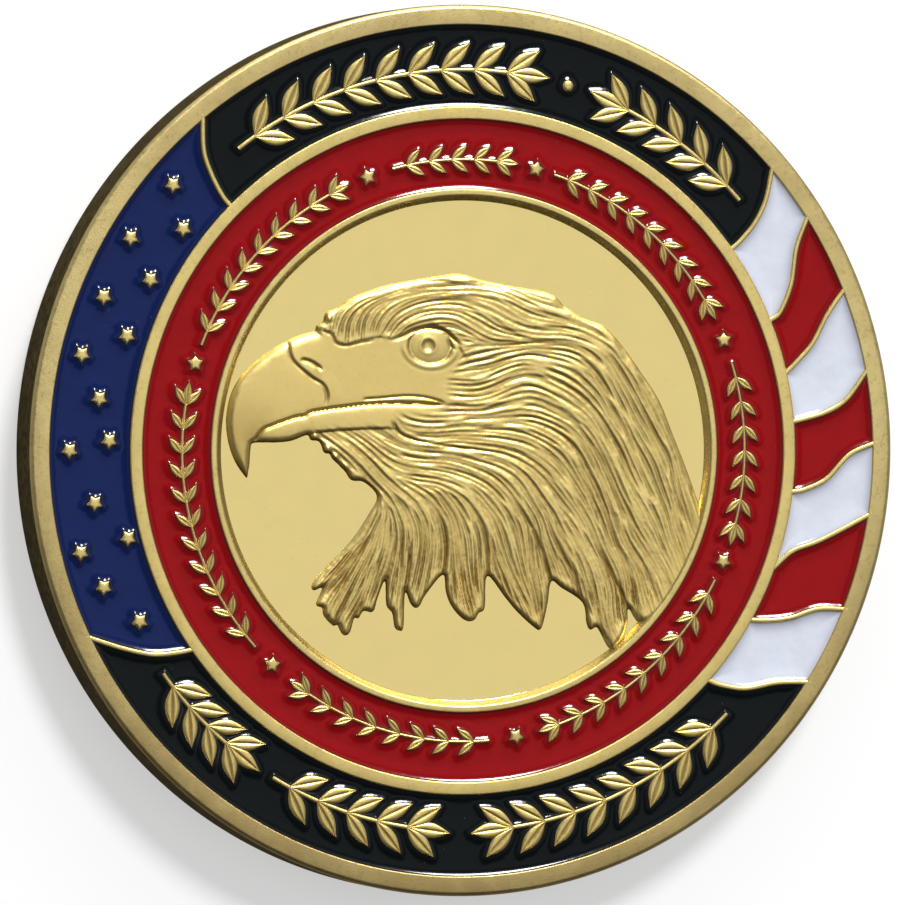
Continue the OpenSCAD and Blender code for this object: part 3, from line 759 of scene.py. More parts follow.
# The coin's side is a darker gold, partly as an unpolished side and partly as painted shade
EDGE = gold("gold_edge", (0.64, 0.49, 0.20), (0.26, 0.18, 0.07), 0.36, 0.5, 18, painted_fall=0.4)
BACK = gold("gold_back", (0.74, 0.58, 0.24), (0.40, 0.28, 0.09), 0.3, 0.4, 14)
RED = enamel("enamel_red", (0.29, 0.003, 0.005), (0.08, 0.001, 0.001), 0.1)
BLUE = enamel("enamel_blue", (0.0045, 0.014, 0.088), (0.001, 0.002, 0.012), 0.13)
BLACK = enamel("enamel_black", (0.003, 0.005, 0.006), (0.001, 0.001, 0.001), 0.1)
WHITE = enamel("enamel_white", (0.68, 0.72, 0.82), (0.42, 0.42, 0.48), 0.2)

# ---------------------------------------------------------------- struck blank

FILLET_PIECES = 4
# The rim falls this much from its inner to its outer edge
RIM_CROWN = 0.025
TURNS = 720
METALS = [SATIN, MIRROR, EDGE, BACK, RIM, SLOPE]
SATIN_ZONE, MIRROR_ZONE, EDGE_ZONE, BACK_ZONE, RIM_ZONE, SLOPE_ZONE = range(len(METALS))
# The blank's section from the middle of its back round to the middle of its face: radius, height,
# fillet, and the zone that follows
PROFILE = [
    (4, BACK_Z, 0, BACK_ZONE),
    (RIM_R - 0.02, BACK_Z, 0.08, SATIN_ZONE),
    (RIM_R, 0, 0.05, SATIN_ZONE),
    (COIN_R - BEVEL, 0, 0.05, EDGE_ZONE),
    (COIN_R, BEVEL, 0.05, EDGE_ZONE),
    (COIN_R, COIN_T - BEVEL, 0.06, RIM_ZONE),
    (COIN_R - BEVEL, COIN_T - RIM_CROWN, 0.07, RIM_ZONE),
    (RIM_R, COIN_T, 0.07, SATIN_ZONE),
    (RIM_R, CELL_Z, 0.02, SATIN_ZONE),
    (RING_R, CELL_Z, 0.02, SATIN_ZONE),
    (RING_R, COIN_T, 0.07, SATIN_ZONE),
    (RED_R, COIN_T, 0.07, SATIN_ZONE),
    (RED_R, CELL_Z, 0.02, SATIN_ZONE),
    (SMALL_RING_R, CELL_Z, 0.02, SATIN_ZONE),
    (SMALL_RING_R, COIN_T, 0.06, SATIN_ZONE),
    (SLOPE_R, COIN_T, 0.08, SLOPE_ZONE),
    (FIELD_R, FIELD_Z, 0.03, MIRROR_ZONE),
    (FIELD_R - 0.3, FIELD_Z, 0, MIRROR_ZONE),
]


def rounded(corners):
    """The (r, z, zone) points of a profile after rounding its corners by their fillets."""
    points = []
    for i, (r, z, fillet, zone) in enumerate(corners):
        if fillet == 0:
            points.append((r, z, zone))
            continue
        here = np.array([r, z])
        before = np.array(corners[i - 1][:2]) - here
        after = np.array(corners[i + 1][:2]) - here
        start = here + before / np.linalg.norm(before) * fillet
        end = here + after / np.linalg.norm(after) * fillet
        for t in np.arange(FILLET_PIECES + 1) / FILLET_PIECES:
            q = (1 - t) ** 2 * start + 2 * t * (1 - t) * here + t * t * end
            points.append((q[0], q[1], corners[i - 1][3] if t < 0.5 else zone))
    return points


def coin_blank():
    """The blank: its profile turned round, closed by a flat face in the middle of each side."""
    profile = rounded(PROFILE)
    around = np.arange(TURNS) * 360 / TURNS
    points = np.vstack([np.column_stack([on_circle(-around, r), np.full(TURNS, z)]) for r, z, _ in profile])
    faces = grid_faces(len(profile), TURNS, closed_rows=True)
    zones = np.repeat([zone for _, _, zone in profile[:-1]], TURNS).tolist()
    last = (len(profile) - 1) * TURNS
    faces += [tuple(range(TURNS))[::-1], tuple(range(last, last + TURNS))]
    zones += [BACK_ZONE, MIRROR_ZONE]
    add_piece("coin_blank", points, faces, METALS, ["coin_body"], "gold_metal", zones=zones)


coin_blank()

# ---------------------------------------------------------------- raised lines, laurel and stars

BASE_Z = CELL_Z - 0.03
# Metal that stands in the cells ends this far below the rims, so that no two faces coincide
TOP_Z = COIN_T - 0.004
WALL_SECTION = ridge_section(BASE_Z, TOP_Z, 0.14, [(0.12, 0.09), (0.105, 0.035), (0.075, 0.008), (0.04, 0)])
# How far the walls run into the rings and the rim
WALL_END = 0.25
WALL_STEP = 0.12
STEM_SINK = 0.03
# Degrees between the points of a stem
STEM_STEP = 0.6
# A stem's shoulder: share of its half width, and drop
STEM_SHOULDER = [(1, 0.09), (0.8, 0.035), (0.4, 0.006)]
LEAF_RELIEF = 0.065
# Neighbouring leaves differ in height by this, so that leaves on one root don't coincide
LEAF_STAGGER = 0.004
BERRY_SIDES = 24
# From the outline in to the middle: share of the outline, and drop below the top
BERRY_SLOPE = [(1, 0.12), (0.93, 0.06), (0.75, 0.02), (0.45, 0.004)]
STAR_SLOPE = [(1, 0.1), (0.9, 0.045), (0.72, 0.012), (0.5, 0.002)]


def levels(slope):
    """The levels of a dome on the cells' floor."""
    return [(1, BASE_Z)] + [(share, TOP_Z - drop) for share, drop in slope]


def lengthened(path, by):
    """The path with each end drawn out straight."""
    ends = [path[0] - path[1], path[-1] - path[-2]]
    ends = [end / np.linalg.norm(end) * by for end in ends]
    return np.vstack([path[:1] + ends[0], path, path[-1:] + ends[1]])


def cell_walls():
    """The thin walls between the cells of the band."""
    walls = Solids()
    for k in range(len(LINES)):
        walls.sweep(resampled(lengthened(line_path(k), WALL_END), WALL_STEP), WALL_SECTION)
    walls.piece("cell_walls", SATIN)


def stem_section(width, base, top):
    """The section of a stem."""
    return ridge_section(base, top, width / 2, [(width / 2 * share, drop) for share, drop in STEM_SHOULDER])


def laurel(name, sprigs, r, length, stem_w, berries=()):
    """A laurel piece; returns the outlines of everything in it."""
    solids, outlines = Solids(), []
    for start, end, pairs in sprigs:
        leaves, stem_ends = sprig(start, end, pairs, r, length)
        for n, (root, heading) in enumerate(leaves):
            solids.leaf(root, heading, length, BASE_Z, TOP_Z - LEAF_STAGGER * (n % 2), LEAF_RELIEF)
            outlines.append(leaf_outline(root, heading, length))
        low, high = sorted(stem_ends)
        path = on_circle(np.linspace(low, high, max(8, int((high - low) / STEM_STEP))), r)
        solids.sweep(path, stem_section(stem_w, BASE_Z, TOP_Z - STEM_SINK))
        outlines.append(arc_outline(low, high, r, stem_w))
    for angle in berries:
        centre = on_circle(angle, r)
        circle = centre + on_circle(-np.arange(BERRY_SIDES) * 360 / BERRY_SIDES, BERRY_R)
        solids.dome(circle, centre, levels(BERRY_SLOPE), TOP_Z)
        outlines.append(circle)
    solids.piece(name, SATIN)
    return outlines


def stars(name, places, r):
    """A piece of stars, given as (centre, direction of one point); returns their outlines."""
    solids, outlines = Solids(), []
    for centre, heading in places:
        outline = star_outline(centre, heading, r, STAR_SHARE)[::-1]
        solids.dome(outline, centre, levels(STAR_SLOPE), TOP_Z)
        outlines.append(outline)
    solids.piece(name, SATIN)
    return outlines


cell_walls()
islands = laurel("laurel_band", BAND_SPRIGS, BAND_MID_R, BAND_LEAF, BAND_STEM_W, [BERRY_ANGLE])
islands += laurel("laurel_ring", RING_SPRIGS, RING_MID_R, RING_LEAF, RING_STEM_W)
hanging = [(on_circle(angle, r), (0, -1)) for angle, r in BLUE_STARS]
islands += stars("stars_blue", hanging, BLUE_STAR_R)
outward = [(on_circle(angle, RING_MID_R), on_circle(angle, 1)) for angle in RING_STARS]
islands += stars("stars_ring", outward, RING_STAR_R)

# ---------------------------------------------------------------- enamel

ENAMEL_BASE = CELL_Z + 0.01
ENAMEL_STEP = 0.05
# How high enamel creeps up the metal, and how fast it falls away from it
CREEP = 0.13
CREEP_WIDTH = 0.24
# Under the metal the creep ends again, from this far inside on, over this distance
CREEP_UNDER = (-0.22, 0.12)
# The painted shade on enamel fades over this distance from the metal
EDGE_TONE_WIDTH = 0.17
# Enamel runs on for this far under the metal around it, so that no gap shows
UNDER = 0.04
# It starts this share of a line's width away from the line's middle
LINE_SHARE = 0.3
METAL_STEP = 0.04
METAL_REACH = 0.9


def metal_distance():
    """How far each point of the face is from the raised metal in the cells; negative inside it."""
    grid = Grid((-RIM_R, -RIM_R), (RIM_R, RIM_R), METAL_STEP)
    nearest = np.full(grid.gx.shape, METAL_REACH)
    for outline in islands:
        w = grid.window(outline.min(0), outline.max(0), METAL_REACH)
        xs, ys = grid.x[w[1]], grid.y[w[0]]
        part = Grid((xs[0], ys[0]), (xs[-1], ys[-1]), grid.step)
        away = -part.signed(outline, METAL_REACH)[: len(ys), : len(xs)]
        nearest[w] = np.minimum(nearest[w], away)
    for k in range(len(LINES)):
        nearest = np.minimum(nearest, grid.distance(line_path(k), METAL_REACH) - LINE_W / 2)
    return grid, nearest


face_grid, to_metal = metal_distance()


def enamel_height(x, y, to_rings):
    """The enamel's height and how close each point is to metal, from 0 to 1."""
    away = np.minimum(face_grid.sample(to_metal, x, y), to_rings)
    creep = np.exp(-np.maximum(away, 0) / CREEP_WIDTH) * eased(away, *CREEP_UNDER)
    # How close to metal: it sets the painted shade there and the glossier coat
    near = np.exp(-np.maximum(away, 0) / EDGE_TONE_WIDTH)
    return ENAMEL_Z + CREEP * creep, near


def enamel_slab(name, node, slot, material, r_in, r_out, start, end, whole=False):
    """Enamel between two radii and between the angles start(r) and end(r), or the whole way round."""
    rows = round((r_out - r_in) / ENAMEL_STEP) + 1
    r = np.linspace(r_in - UNDER, r_out + UNDER, rows)
    first, last = start(r), end(r)
    columns = round(math.radians((last - first).max()) * (r_in + r_out) / 2 / ENAMEL_STEP) + 1
    share = np.arange(columns) / (columns if whole else columns - 1)
    angle = first[:, None] + (last - first)[:, None] * share
    radius = np.repeat(r[:, None], columns, axis=1)
    xy = on_circle(angle, radius)
    z, near = enamel_height(xy[..., 0], xy[..., 1], np.minimum(radius - r_in, r_out - radius))
    top = np.dstack([xy, z]).reshape(-1, 3)
    faces = [face[::-1] for face in grid_faces(rows, columns, closed_rows=whole)]

    # The edge of the top surface, with a copy of it at the base
    index = np.arange(rows * columns).reshape(rows, columns)
    inner, outer, left, right = index[0], index[-1], index[:, 0], index[:, -1]
    if whole:
        loops = [inner, outer[::-1]]
    else:
        loops = [np.concatenate([inner, right[1:-1], outer[::-1], left[-2:0:-1]])]
    edge = np.concatenate(loops).tolist()
    low = {vertex: len(top) + n for n, vertex in enumerate(edge)}
    bottom = np.column_stack([top[edge, :2], np.full(len(edge), ENAMEL_BASE)])
    for loop in loops:
        faces += [(a, b, low[b], low[a]) for a, b in zip(loop.tolist(), np.roll(loop, -1).tolist())]
    for c in range(columns if whole else columns - 1):
        here = left[::-1] if c == 0 and not whole else index[[-1, 0], c]
        there = right if c == columns - 2 and not whole else index[[0, -1], (c + 1) % columns]
        faces.append(tuple(low[vertex] for vertex in [*here.tolist(), *there.tolist()]))
    painted_shade = np.concatenate([near.ravel(), np.zeros(len(bottom))])
    add_piece(name, np.vstack([top, bottom]), faces, [material], [node], slot, painted_shade=painted_shade)


def cell(name, slot, material, a, b):
    """The enamel between line a and line b of the band, clockwise."""
    turn = 360 if LINES[b][0] < LINES[a][0] else 0
    inset = math.degrees(LINE_W * LINE_SHARE / RIM_R)
    enamel_slab(
        name + "_fill", name, slot, material, RING_R, RIM_R,
        lambda r: line_angle(a, r) + inset, lambda r: line_angle(b, r) + turn - inset,
    )


cell("enamel_black_top", "black_enamel", BLACK, 9, 0)
cell("enamel_black_bottom", "black_enamel", BLACK, 7, 8)
cell("enamel_blue", "blue_enamel", BLUE, 8, 9)
for k in range(7):
    tint, material = (("white", WHITE), ("red", RED))[k % 2]
    cell(f"stripe_{tint}_{k // 2 + 1}", f"{tint}_enamel", material, k, k + 1)
enamel_slab(
    "enamel_red_ring_fill", "enamel_red_ring", "red_enamel", RED, SMALL_RING_R, RED_R,
    np.zeros_like, lambda r: np.full_like(r, 360.0), whole=True,
)

# ---------------------------------------------------------------- eagle

EAGLE_LOW = (-11.4, -9)
EAGLE_HIGH = (11.8, 8.3)
EAGLE_STEP = 0.045
# Distances to the eagle's outline are worked out up to this
EAGLE_REACH = 1.6
# Closes the bare face on the left, outside the outline
FACE_START = (-13, 5.1)
FACE_END = [(-7.5, -0.6), (-8, -3), (-13, -3)]
# The relief's rounded wall, which is wider by a share where it faces the top of the design
WALL_H = 0.175
WALL_R = 0.28
UPPER_SHARE = 0.7
# Further in the relief swells a little, and the bill, from this X on, a little more
SWELL_H = 0.06
SWELL_R = 1.0
BILL_H = 0.05
BILL_R = 1.1
BILL_X = (-6.2, -1.5)
# The brow stands above the face
BROW_H = 0.045
BROW_STEP = 0.14
# The neck rises to this height on the ring, and the relief is cut off there
RISE_H = 0.27
RISE_R = (10.3, 1.1)
RISE_EDGE = 0.35
CLIP_R = 11.45
EAGLE_TOP = 2.975
# Outside the outline the surface sinks this steeply, down to where it is SINK_REACH away
SINK_SLOPE = 1.2
SINK_REACH = 0.2
# The mesh ends this far outside the outline, and its skirt goes down to SKIRT_Z
MARGIN = 0.1
SKIRT_Z = 2.4
ROUGH_H = 0.006
SWAY_SEED, STREAK_SEED, FEATHER_SEED, ROUGH_SEED = 11, 5, 7, 3

# Feathers: the step between a line's points, and how far they stray from the guide lines, in radians
TRACE_STEP = 0.09
SWAY = 0.1
FLOW_STEP = 0.25
FLOW_BLUR = 14
# A guide line's pull falls off from about this squared distance on
FLOW_NEAR = 0.06
# Shares of the gap between lines: what a new line needs around its seed, and where a growing one stops
SEED_ROOM = 0.9
GROWTH_ROOM = 0.36
# A line that stays under this share of the shortest length is dropped
SHORTEST = 0.22
BUCKET = 0.3
# Gap between feathers, with what the cheek adds and the brow takes away
FEATHER_GAP = 0.17
CHEEK_GAP = 0.065
BROW_GAP = 0.05
FEATHER_LENGTHS = (5, 16)
# Lengths over which a crease fades at its start and its end, and half its width in shares of the gap
FEATHER_FADES = (0.7, 0.8)
FEATHER_W = 0.6
FEATHER_DEPTH = 0.105
# How much painted shade fills a crease between feathers
FEATHER_TONE = 0.9
LOCK_GAP = 0.95
LOCK_LENGTHS = (5, 12)
LOCK_FADES = (1.2, 0.6)
LOCK_W = 0.35
LOCK_DEPTH = 0.03
PARTING_DEPTH = 0.08
PARTING_W = 0.15
PARTING_FADES = (0.02, 2.0)
STREAK_STEPS = 12
STREAK_HEIGHT = 0.008
STREAK_TONE = 0.16
# Where feathers start at the bare face, and over what distance: sharply on the brow, softly on the cheek
BROW_START = (-0.12, 0.15)
CHEEK_START = (-0.4, 0.9)
# Over what distance they end at the outline
FEATHER_EDGE = 0.14
# Deep partings between the locks, from the notches at their ends up into the neck
PARTINGS = [
    [(8.2, -6.6), (7.5, -5.4), (6.7, -4.1), (6.0, -3.0)],
    [(6.05, -6.4), (5.5, -5.2), (4.8, -4.1), (4.2, -3.0)],
    [(4.5, -5.6), (3.95, -4.3), (3.3, -3.1), (2.4, -2.0)],
    [(1.5, -5.5), (1.4, -4.4), (1.0, -3.2), (0.3, -2.2)],
    [(-0.55, -5.6), (-0.5, -4.5), (-0.75, -3.4), (-1.4, -2.4)],
    [(-2.25, -6.5), (-2.15, -5.3), (-2.3, -4.2), (-2.7, -3.2)],
    [(-3.2, -6.1), (-3.0, -5.1), (-3.0, -4.1)],
    [(-6.1, -6.65), (-5.3, -5.5), (-4.5, -4.2)],
    [(-5.4, -8.2), (-4.8, -6.6), (-4.2, -5.2)],
]


def quarter(t):
    """0 to 1 along a quarter circle as t goes from 0 to 1."""
    t = np.clip(t, 0, 1)
    return np.sqrt(1 - (1 - t) ** 2)


def evenly(value, start, width):
    """0 to 1 evenly as a number goes from start on over width, which is negative where it goes down."""
    return min(max((value - start) / width, 0), 1)


def eagle_outline():
    """The eagle's outline, clockwise."""
    edges = [smooth(BEAK_EDGE, 5)[:-1], smooth(CROWN_EDGE, 5)[:-1], smooth(NAPE_EDGE, 5)[:-1]]
    return np.vstack([*edges, smooth(LOCKS_EDGE, 4)])


def flow_field(grid):
    """The direction in which the feathers lie, between the guide lines: a coarse grid, its X and its Y."""
    coarse = Grid((grid.x[0], grid.y[0]), (grid.x[-1], grid.y[-1]), FLOW_STEP)
    middles, runs = [], []
    for line in FEATHER_LINES:
        path = resampled(smooth(line, 6), 0.3)
        middles.append((path[1:] + path[:-1]) / 2)
        runs.append(np.diff(path, axis=0))
    middles, runs = np.vstack(middles), np.vstack(runs)
    runs /= np.linalg.norm(runs, axis=1)[:, None]
    far = (coarse.gx[..., None] - middles[:, 0]) ** 2 + (coarse.gy[..., None] - middles[:, 1]) ** 2
    weight = 1 / (far + FLOW_NEAR) ** 2
    u, v = (weight * runs[:, 0]).sum(-1), (weight * runs[:, 1]).sum(-1)
    sway = blurred(np.random.default_rng(SWAY_SEED).normal(size=u.shape), FLOW_BLUR)
    angle = np.arctan2(v, u) + SWAY * sway / sway.std()
    return coarse, np.cos(angle), np.sin(angle)


def combed(grid, flow, allowed, gap_at, lengths, seeds, chance):
    """Lines that follow the flow where it is allowed, evenly spaced by gap_at(x, y)."""
    coarse, u, v = flow
    taken = {}

    def heading(x, y):
        i = min(max(int((x - coarse.x[0]) / coarse.step), 0), len(coarse.x) - 2)
        j = min(max(int((y - coarse.y[0]) / coarse.step), 0), len(coarse.y) - 2)
        fx, fy = (x - coarse.x[i]) / coarse.step, (y - coarse.y[j]) / coarse.step
        weights = ((1 - fx) * (1 - fy), fx * (1 - fy), (1 - fx) * fy, fx * fy)
        corners = ((j, i), (j, i + 1), (j + 1, i), (j + 1, i + 1))
        hx = sum(w * u[corner] for w, corner in zip(weights, corners))
        hy = sum(w * v[corner] for w, corner in zip(weights, corners))
        size = math.hypot(hx, hy) + TINY
        return hx / size, hy / size

    def free(x, y, gap):
        row = min(max(int((y - grid.y[0]) / grid.step), 0), len(grid.y) - 1)
        column = min(max(int((x - grid.x[0]) / grid.step), 0), len(grid.x) - 1)
        if not allowed[row, column]:
            return False
        i, j = int(x // BUCKET), int(y // BUCKET)
        reach = 1 + int(gap // BUCKET)
        for a in range(i - reach, i + reach + 1):
            for b in range(j - reach, j + reach + 1):
                for px, py in taken.get((a, b), ()):
                    if (px - x) ** 2 + (py - y) ** 2 < gap * gap:
                        return False
        return True

    def traced(x, y, way, length):
        path = []
        while length > 0:
            hx, hy = heading(x, y)
            mx, my = heading(x + way * hx * TRACE_STEP / 2, y + way * hy * TRACE_STEP / 2)
            x, y = x + way * mx * TRACE_STEP, y + way * my * TRACE_STEP
            if not free(x, y, gap_at(x, y) * GROWTH_ROOM):
                break
            path.append((x, y))
            length -= TRACE_STEP
        return path

    lines, waiting = [], seeds[::-1]
    while waiting:
        x, y = waiting.pop()
        gap = gap_at(x, y)
        if not free(x, y, gap * SEED_ROOM):
            continue
        length = chance.uniform(*lengths)
        part = chance.uniform(0.3, 0.7)
        path = traced(x, y, -1, length * part)[::-1] + [(x, y)] + traced(x, y, 1, length * (1 - part))
        if len(path) * TRACE_STEP < lengths[0] * SHORTEST:
            continue
        for px, py in path:
            taken.setdefault((int(px // BUCKET), int(py // BUCKET)), []).append((px, py))
        lines.append(np.array(path))
        for px, py in path[::3]:
            hx, hy = heading(px, py)
            waiting += [(px - hy * gap, py + hx * gap), (px + hy * gap, py - hx * gap)]
    return lines


def streaks(grid, flow):
    """Fine noise drawn out along the flow."""
    coarse, u, v = flow
    noise = np.random.default_rng(STREAK_SEED).normal(size=grid.gx.shape)
    total = noise.copy()
    for way in (1, -1):
        x, y = grid.gx.copy(), grid.gy.copy()
        for _ in range(STREAK_STEPS):
            hx, hy = coarse.sample(u, x, y), coarse.sample(v, x, y)
            size = np.hypot(hx, hy) + TINY
            x += way * hx / size * grid.step
            y += way * hy / size * grid.step
            total += grid.sample(noise, x, y)
    return total / total.std()


def tapered(line, start, end):
    """Strength along a line: 0 at its ends, 1 from start mm on until end mm before the end."""
    at = np.arange(len(line)) * TRACE_STEP
    return eased(at, 0, start) * eased(at, at[-1], -end)


def feather_gap(x, y):
    """The distance between feathers: wide on the cheek, narrow on the brow and down the neck."""
    cheek = evenly(y, -4.5, 4)
    brow = evenly(y, 4.2, 0.8) * evenly(x, 3.5, -3)
    return FEATHER_GAP + CHEEK_GAP * cheek - BROW_GAP * brow


def crease_profile(t):
    """Across the crease between two feathers: sharp in the middle, 0 at its side."""
    return (1 - np.sqrt(t * t + 0.01)).clip(0, 1) ** 1.3


def lock_creases(grid, flow, allowed, seeds, chance):
    """The broad hollows between locks of feathers, from 0 to 1."""
    field = np.zeros_like(grid.gx)
    for line in combed(grid, flow, allowed, lambda x, y: LOCK_GAP, LOCK_LENGTHS, seeds, chance):
        if len(line) > 8:
            strength = tapered(line, *LOCK_FADES) * chance.uniform(0.4, 1)
            grid.stroke(field, line, strength, LOCK_GAP * LOCK_W, lambda t: (1 - t) ** 2)
    return field


def feather_creases(grid, flow, allowed, seeds, chance):
    """The creases between single feathers, from 0 to 1, which swell and ebb along their way."""
    field = np.zeros_like(grid.gx)
    for line in combed(grid, flow, allowed, feather_gap, FEATHER_LENGTHS, seeds, chance):
        if len(line) > 4:
            gap = feather_gap(*line[len(line) // 2])
            beat = np.sin(np.arange(len(line)) * TRACE_STEP * chance.uniform(0.8, 2) + chance.uniform(0, 6))
            strength = tapered(line, *FEATHER_FADES) * chance.uniform(0.5, 1) * (0.8 + 0.2 * beat)
            grid.stroke(field, line, strength, gap * FEATHER_W, crease_profile)
    return field


def parting_creases(grid):
    """The deep partings, from 0 to 1."""
    field = np.zeros_like(grid.gx)
    for line in PARTINGS:
        path = resampled(smooth(line, 6), TRACE_STEP)
        grid.stroke(field, path, tapered(path, *PARTING_FADES), PARTING_W, lambda t: (1 - t) ** 1.5)
    return field


class Relief:
    """A surface over a grid: its height above the field, and how much painted shade each point has."""

    def __init__(self, grid):
        self.grid = grid
        self.height = np.zeros_like(grid.gx)
        self.painted_shade = np.zeros_like(grid.gx)

    def darken(self, painted_shade):
        self.painted_shade = np.maximum(self.painted_shade, painted_shade)

    def groove(self, line, width, depth, dark, ends):
        """Cuts a groove that runs out at its ends, with painted shade in it."""
        path = resampled(smooth(line, 8), TRACE_STEP)
        cut = np.zeros_like(self.height)
        self.grid.stroke(cut, path, tapered(path, *ends), width, lambda t: (1 - t * t) ** 2)
        self.height -= depth * cut
        self.darken(dark * cut**1.5)

    def beside(self, line, reach, ends):
        """1 on a line down to 0 at reach, run out at its ends, and the distance to the line's left."""
        path = resampled(smooth(line, 8), TRACE_STEP)
        near = np.zeros_like(self.height)
        self.grid.stroke(near, path, tapered(path, *ends), reach, lambda t: 1 - t)
        return near, self.grid.side(path, EAGLE_REACH)

    def bump(self, centre, size, rise, along=(1, 0), stretch=1.0):
        """Adds a rounded bump, longer in one direction by stretch."""
        dx, dy = self.grid.gx - centre[0], self.grid.gy - centre[1]
        c, s = along
        far = np.hypot((dx * c + dy * s) / stretch, -dx * s + dy * c)
        self.height += rise * (1 - eased(far, 0, size))

    def rings(self, far, rings, where=1.0):
        """Adds rings of (distance, width, rise, dark) at distances far from a middle; dark is painted
        shade.
        """
        for at, width, rise, dark in rings:
            ring = where * np.exp(-(((far - at) / width) ** 2))
            self.height += rise * ring
            self.darken(dark * ring)


def add_feathers(relief, edge, plumage, brow):
    """Cuts the locks, feathers and partings, draws fine streaks along them, and paints shade into the
    creases, partings and streaks.
    """
    grid = relief.grid
    chance = random.Random(FEATHER_SEED)
    flow = flow_field(grid)
    on_brow = brow > 0.5
    allowed = (edge > 0.05) & (plumage > np.where(on_brow, BROW_START[0], CHEEK_START[0]))
    seeds = [tuple(p) for line in FEATHER_LINES for p in resampled(smooth(line, 6), 0.4)[1:-1]]
    locks = lock_creases(grid, flow, allowed, seeds[::3], chance)
    feathers = feather_creases(grid, flow, allowed, seeds, chance)
    partings = parting_creases(grid)
    begun = np.where(on_brow, eased(plumage, *BROW_START), eased(plumage, *CHEEK_START))
    fade = begun * eased(edge, 0, FEATHER_EDGE)
    relief.height -= fade * (FEATHER_DEPTH * feathers + LOCK_DEPTH * locks + PARTING_DEPTH * partings)
    # Painted shade in the feathers' creases and in the partings
    relief.darken(fade * np.maximum(FEATHER_TONE * feathers, partings))
    hair = streaks(grid, flow) * fade
    relief.height += STREAK_HEIGHT * hair
    # Painted shade in the streaks' hollows, stronger towards the foot of the design at the tips of the
    # neck's feathers
    relief.painted_shade += STREAK_TONE * np.maximum(-hair, 0) * (1 + 2 * eased(grid.gy, -3.5, -2.5))


# ---------------------------------------------------------------- the eagle's face

EYE_SOCKET = 0.155
EYE_RISE = 0.075
EYE_SQUASH = 1.27
# Painted shade on the lower half of the eye
EYE_SHADE = 0.15
# The lower half of the eye begins at this height and is full this far below it
EYE_LOWER = (EYE_AT[1] + 0.1, -0.5)
PUPIL_R = 0.32
PUPIL_DEPTH = 0.085
# Rings around the eye and the pupil: distance and width in shares of their radius, rise, and darkness of
# painted shade
EYE_RINGS = [(1.03, 0.06, -0.025, 0.6)]
LOWER_LID_RINGS = [(1.22, 0.1, 0.022, 0), (1.43, 0.07, -0.012, 0), (1.43, 0.06, 0, 0.35)]
PUPIL_RINGS = [(1.12, 0.2, 0.012, 0), (0.95, 0.15, 0, 0.5)]
# How far the surface sinks at the mouth, and how far from it that fades: on the lower bill and the upper
LOWER_SINK = (0.09, 0.16)
UPPER_SINK = (0.03, 0.1)
JAW_STEP = 0.05
CERE_RISE = 0.035
CERE_SINK = 0.02
# More lines of the face: the eye's back corner, the jaw, and the edges of the brow's and cheek's feathers
CORNER_LINE = [(-1.15, 5.05), (-1.06, 4.67), (-0.76, 4.47)]
JAW_LINE = [(-7.37, 0.2), (-6.17, 0.42), (-4.83, 0.6), (-3.5, 0.73)]
JAW_END = [(-3.55, 1.2), (-3.4, 0.9), (-3.2, 0.7)]
BROW_LINE = [(-7.1, 4.88), (-6.55, 4.68), (-6.35, 4.35), (-5.9, 4.25), (-5.2, 4.45), (-4.4, 4.65)]
CHEEK_LINE = [(-3.4, 1.1), (-3.1, 0.58), (-2.5, 0.33), (-1.5, 0.2), (0, 0.1), (1.4, 0.02)]
# Grooves: line, half width, depth, darkness of their painted shade, and over what lengths the two ends run
# out
GROOVES = [
    (MOUTH_LINE, 0.085, 0.1, 1.0, (0.01, 0.5)),
    (LIP_LINE, 0.075, 0.06, 0.8, (0.3, 0.3)),
    (JAW_LINE, 0.09, 0.02, 1.0, (0.3, 0.3)),
    (JAW_END, 0.07, 0.05, 0.8, (0.3, 0.3)),
    (CERE_LINE, 0.08, 0.055, 0.9, (0.1, 0.4)),
    (NOSTRIL_LINE, 0.12, 0.1, 1.0, (0.15, 0.15)),
    (LID_LINE, 0.13, 0.09, 1.0, (0.5, 0.6)),
    (CORNER_LINE, 0.08, 0.05, 0.8, (0.2, 0.2)),
    (BROW_LINE, 0.08, 0.03, 0.9, (0.2, 0.5)),
    (CHEEK_LINE, 0.1, 0.06, 0.9, (0.2, 1.5)),
]
# The swelling under the nostril: middle, size, rise, direction and stretch
NOSTRIL_BUMP = ((-7.3, 3.02), 0.34, 0.025, (0.83, -0.56), 1.6)
# Small lumps on the forehead and under the chin: middle, size and rise
KNOBS = [
    ((-7.05, 5.1), 0.2, 0.05), ((-6.75, 5.4), 0.22, 0.05), ((-6.6, 5.05), 0.25, 0.03),
    ((-7.0, 0.1), 0.27, 0.08), ((-6.7, -0.15), 0.23, 0.07), ((-6.36, -0.44), 0.28, 0.08),
    ((-6.0, -0.74), 0.28, 0.08), ((-5.5, -1.18), 0.3, 0.06),
]
# The bare face is a little darker than the plumage, and painted shade darkens the hook of the bill towards
# its lower left
FACE_TONE = 0.13
HOOK_TONE = 0.3


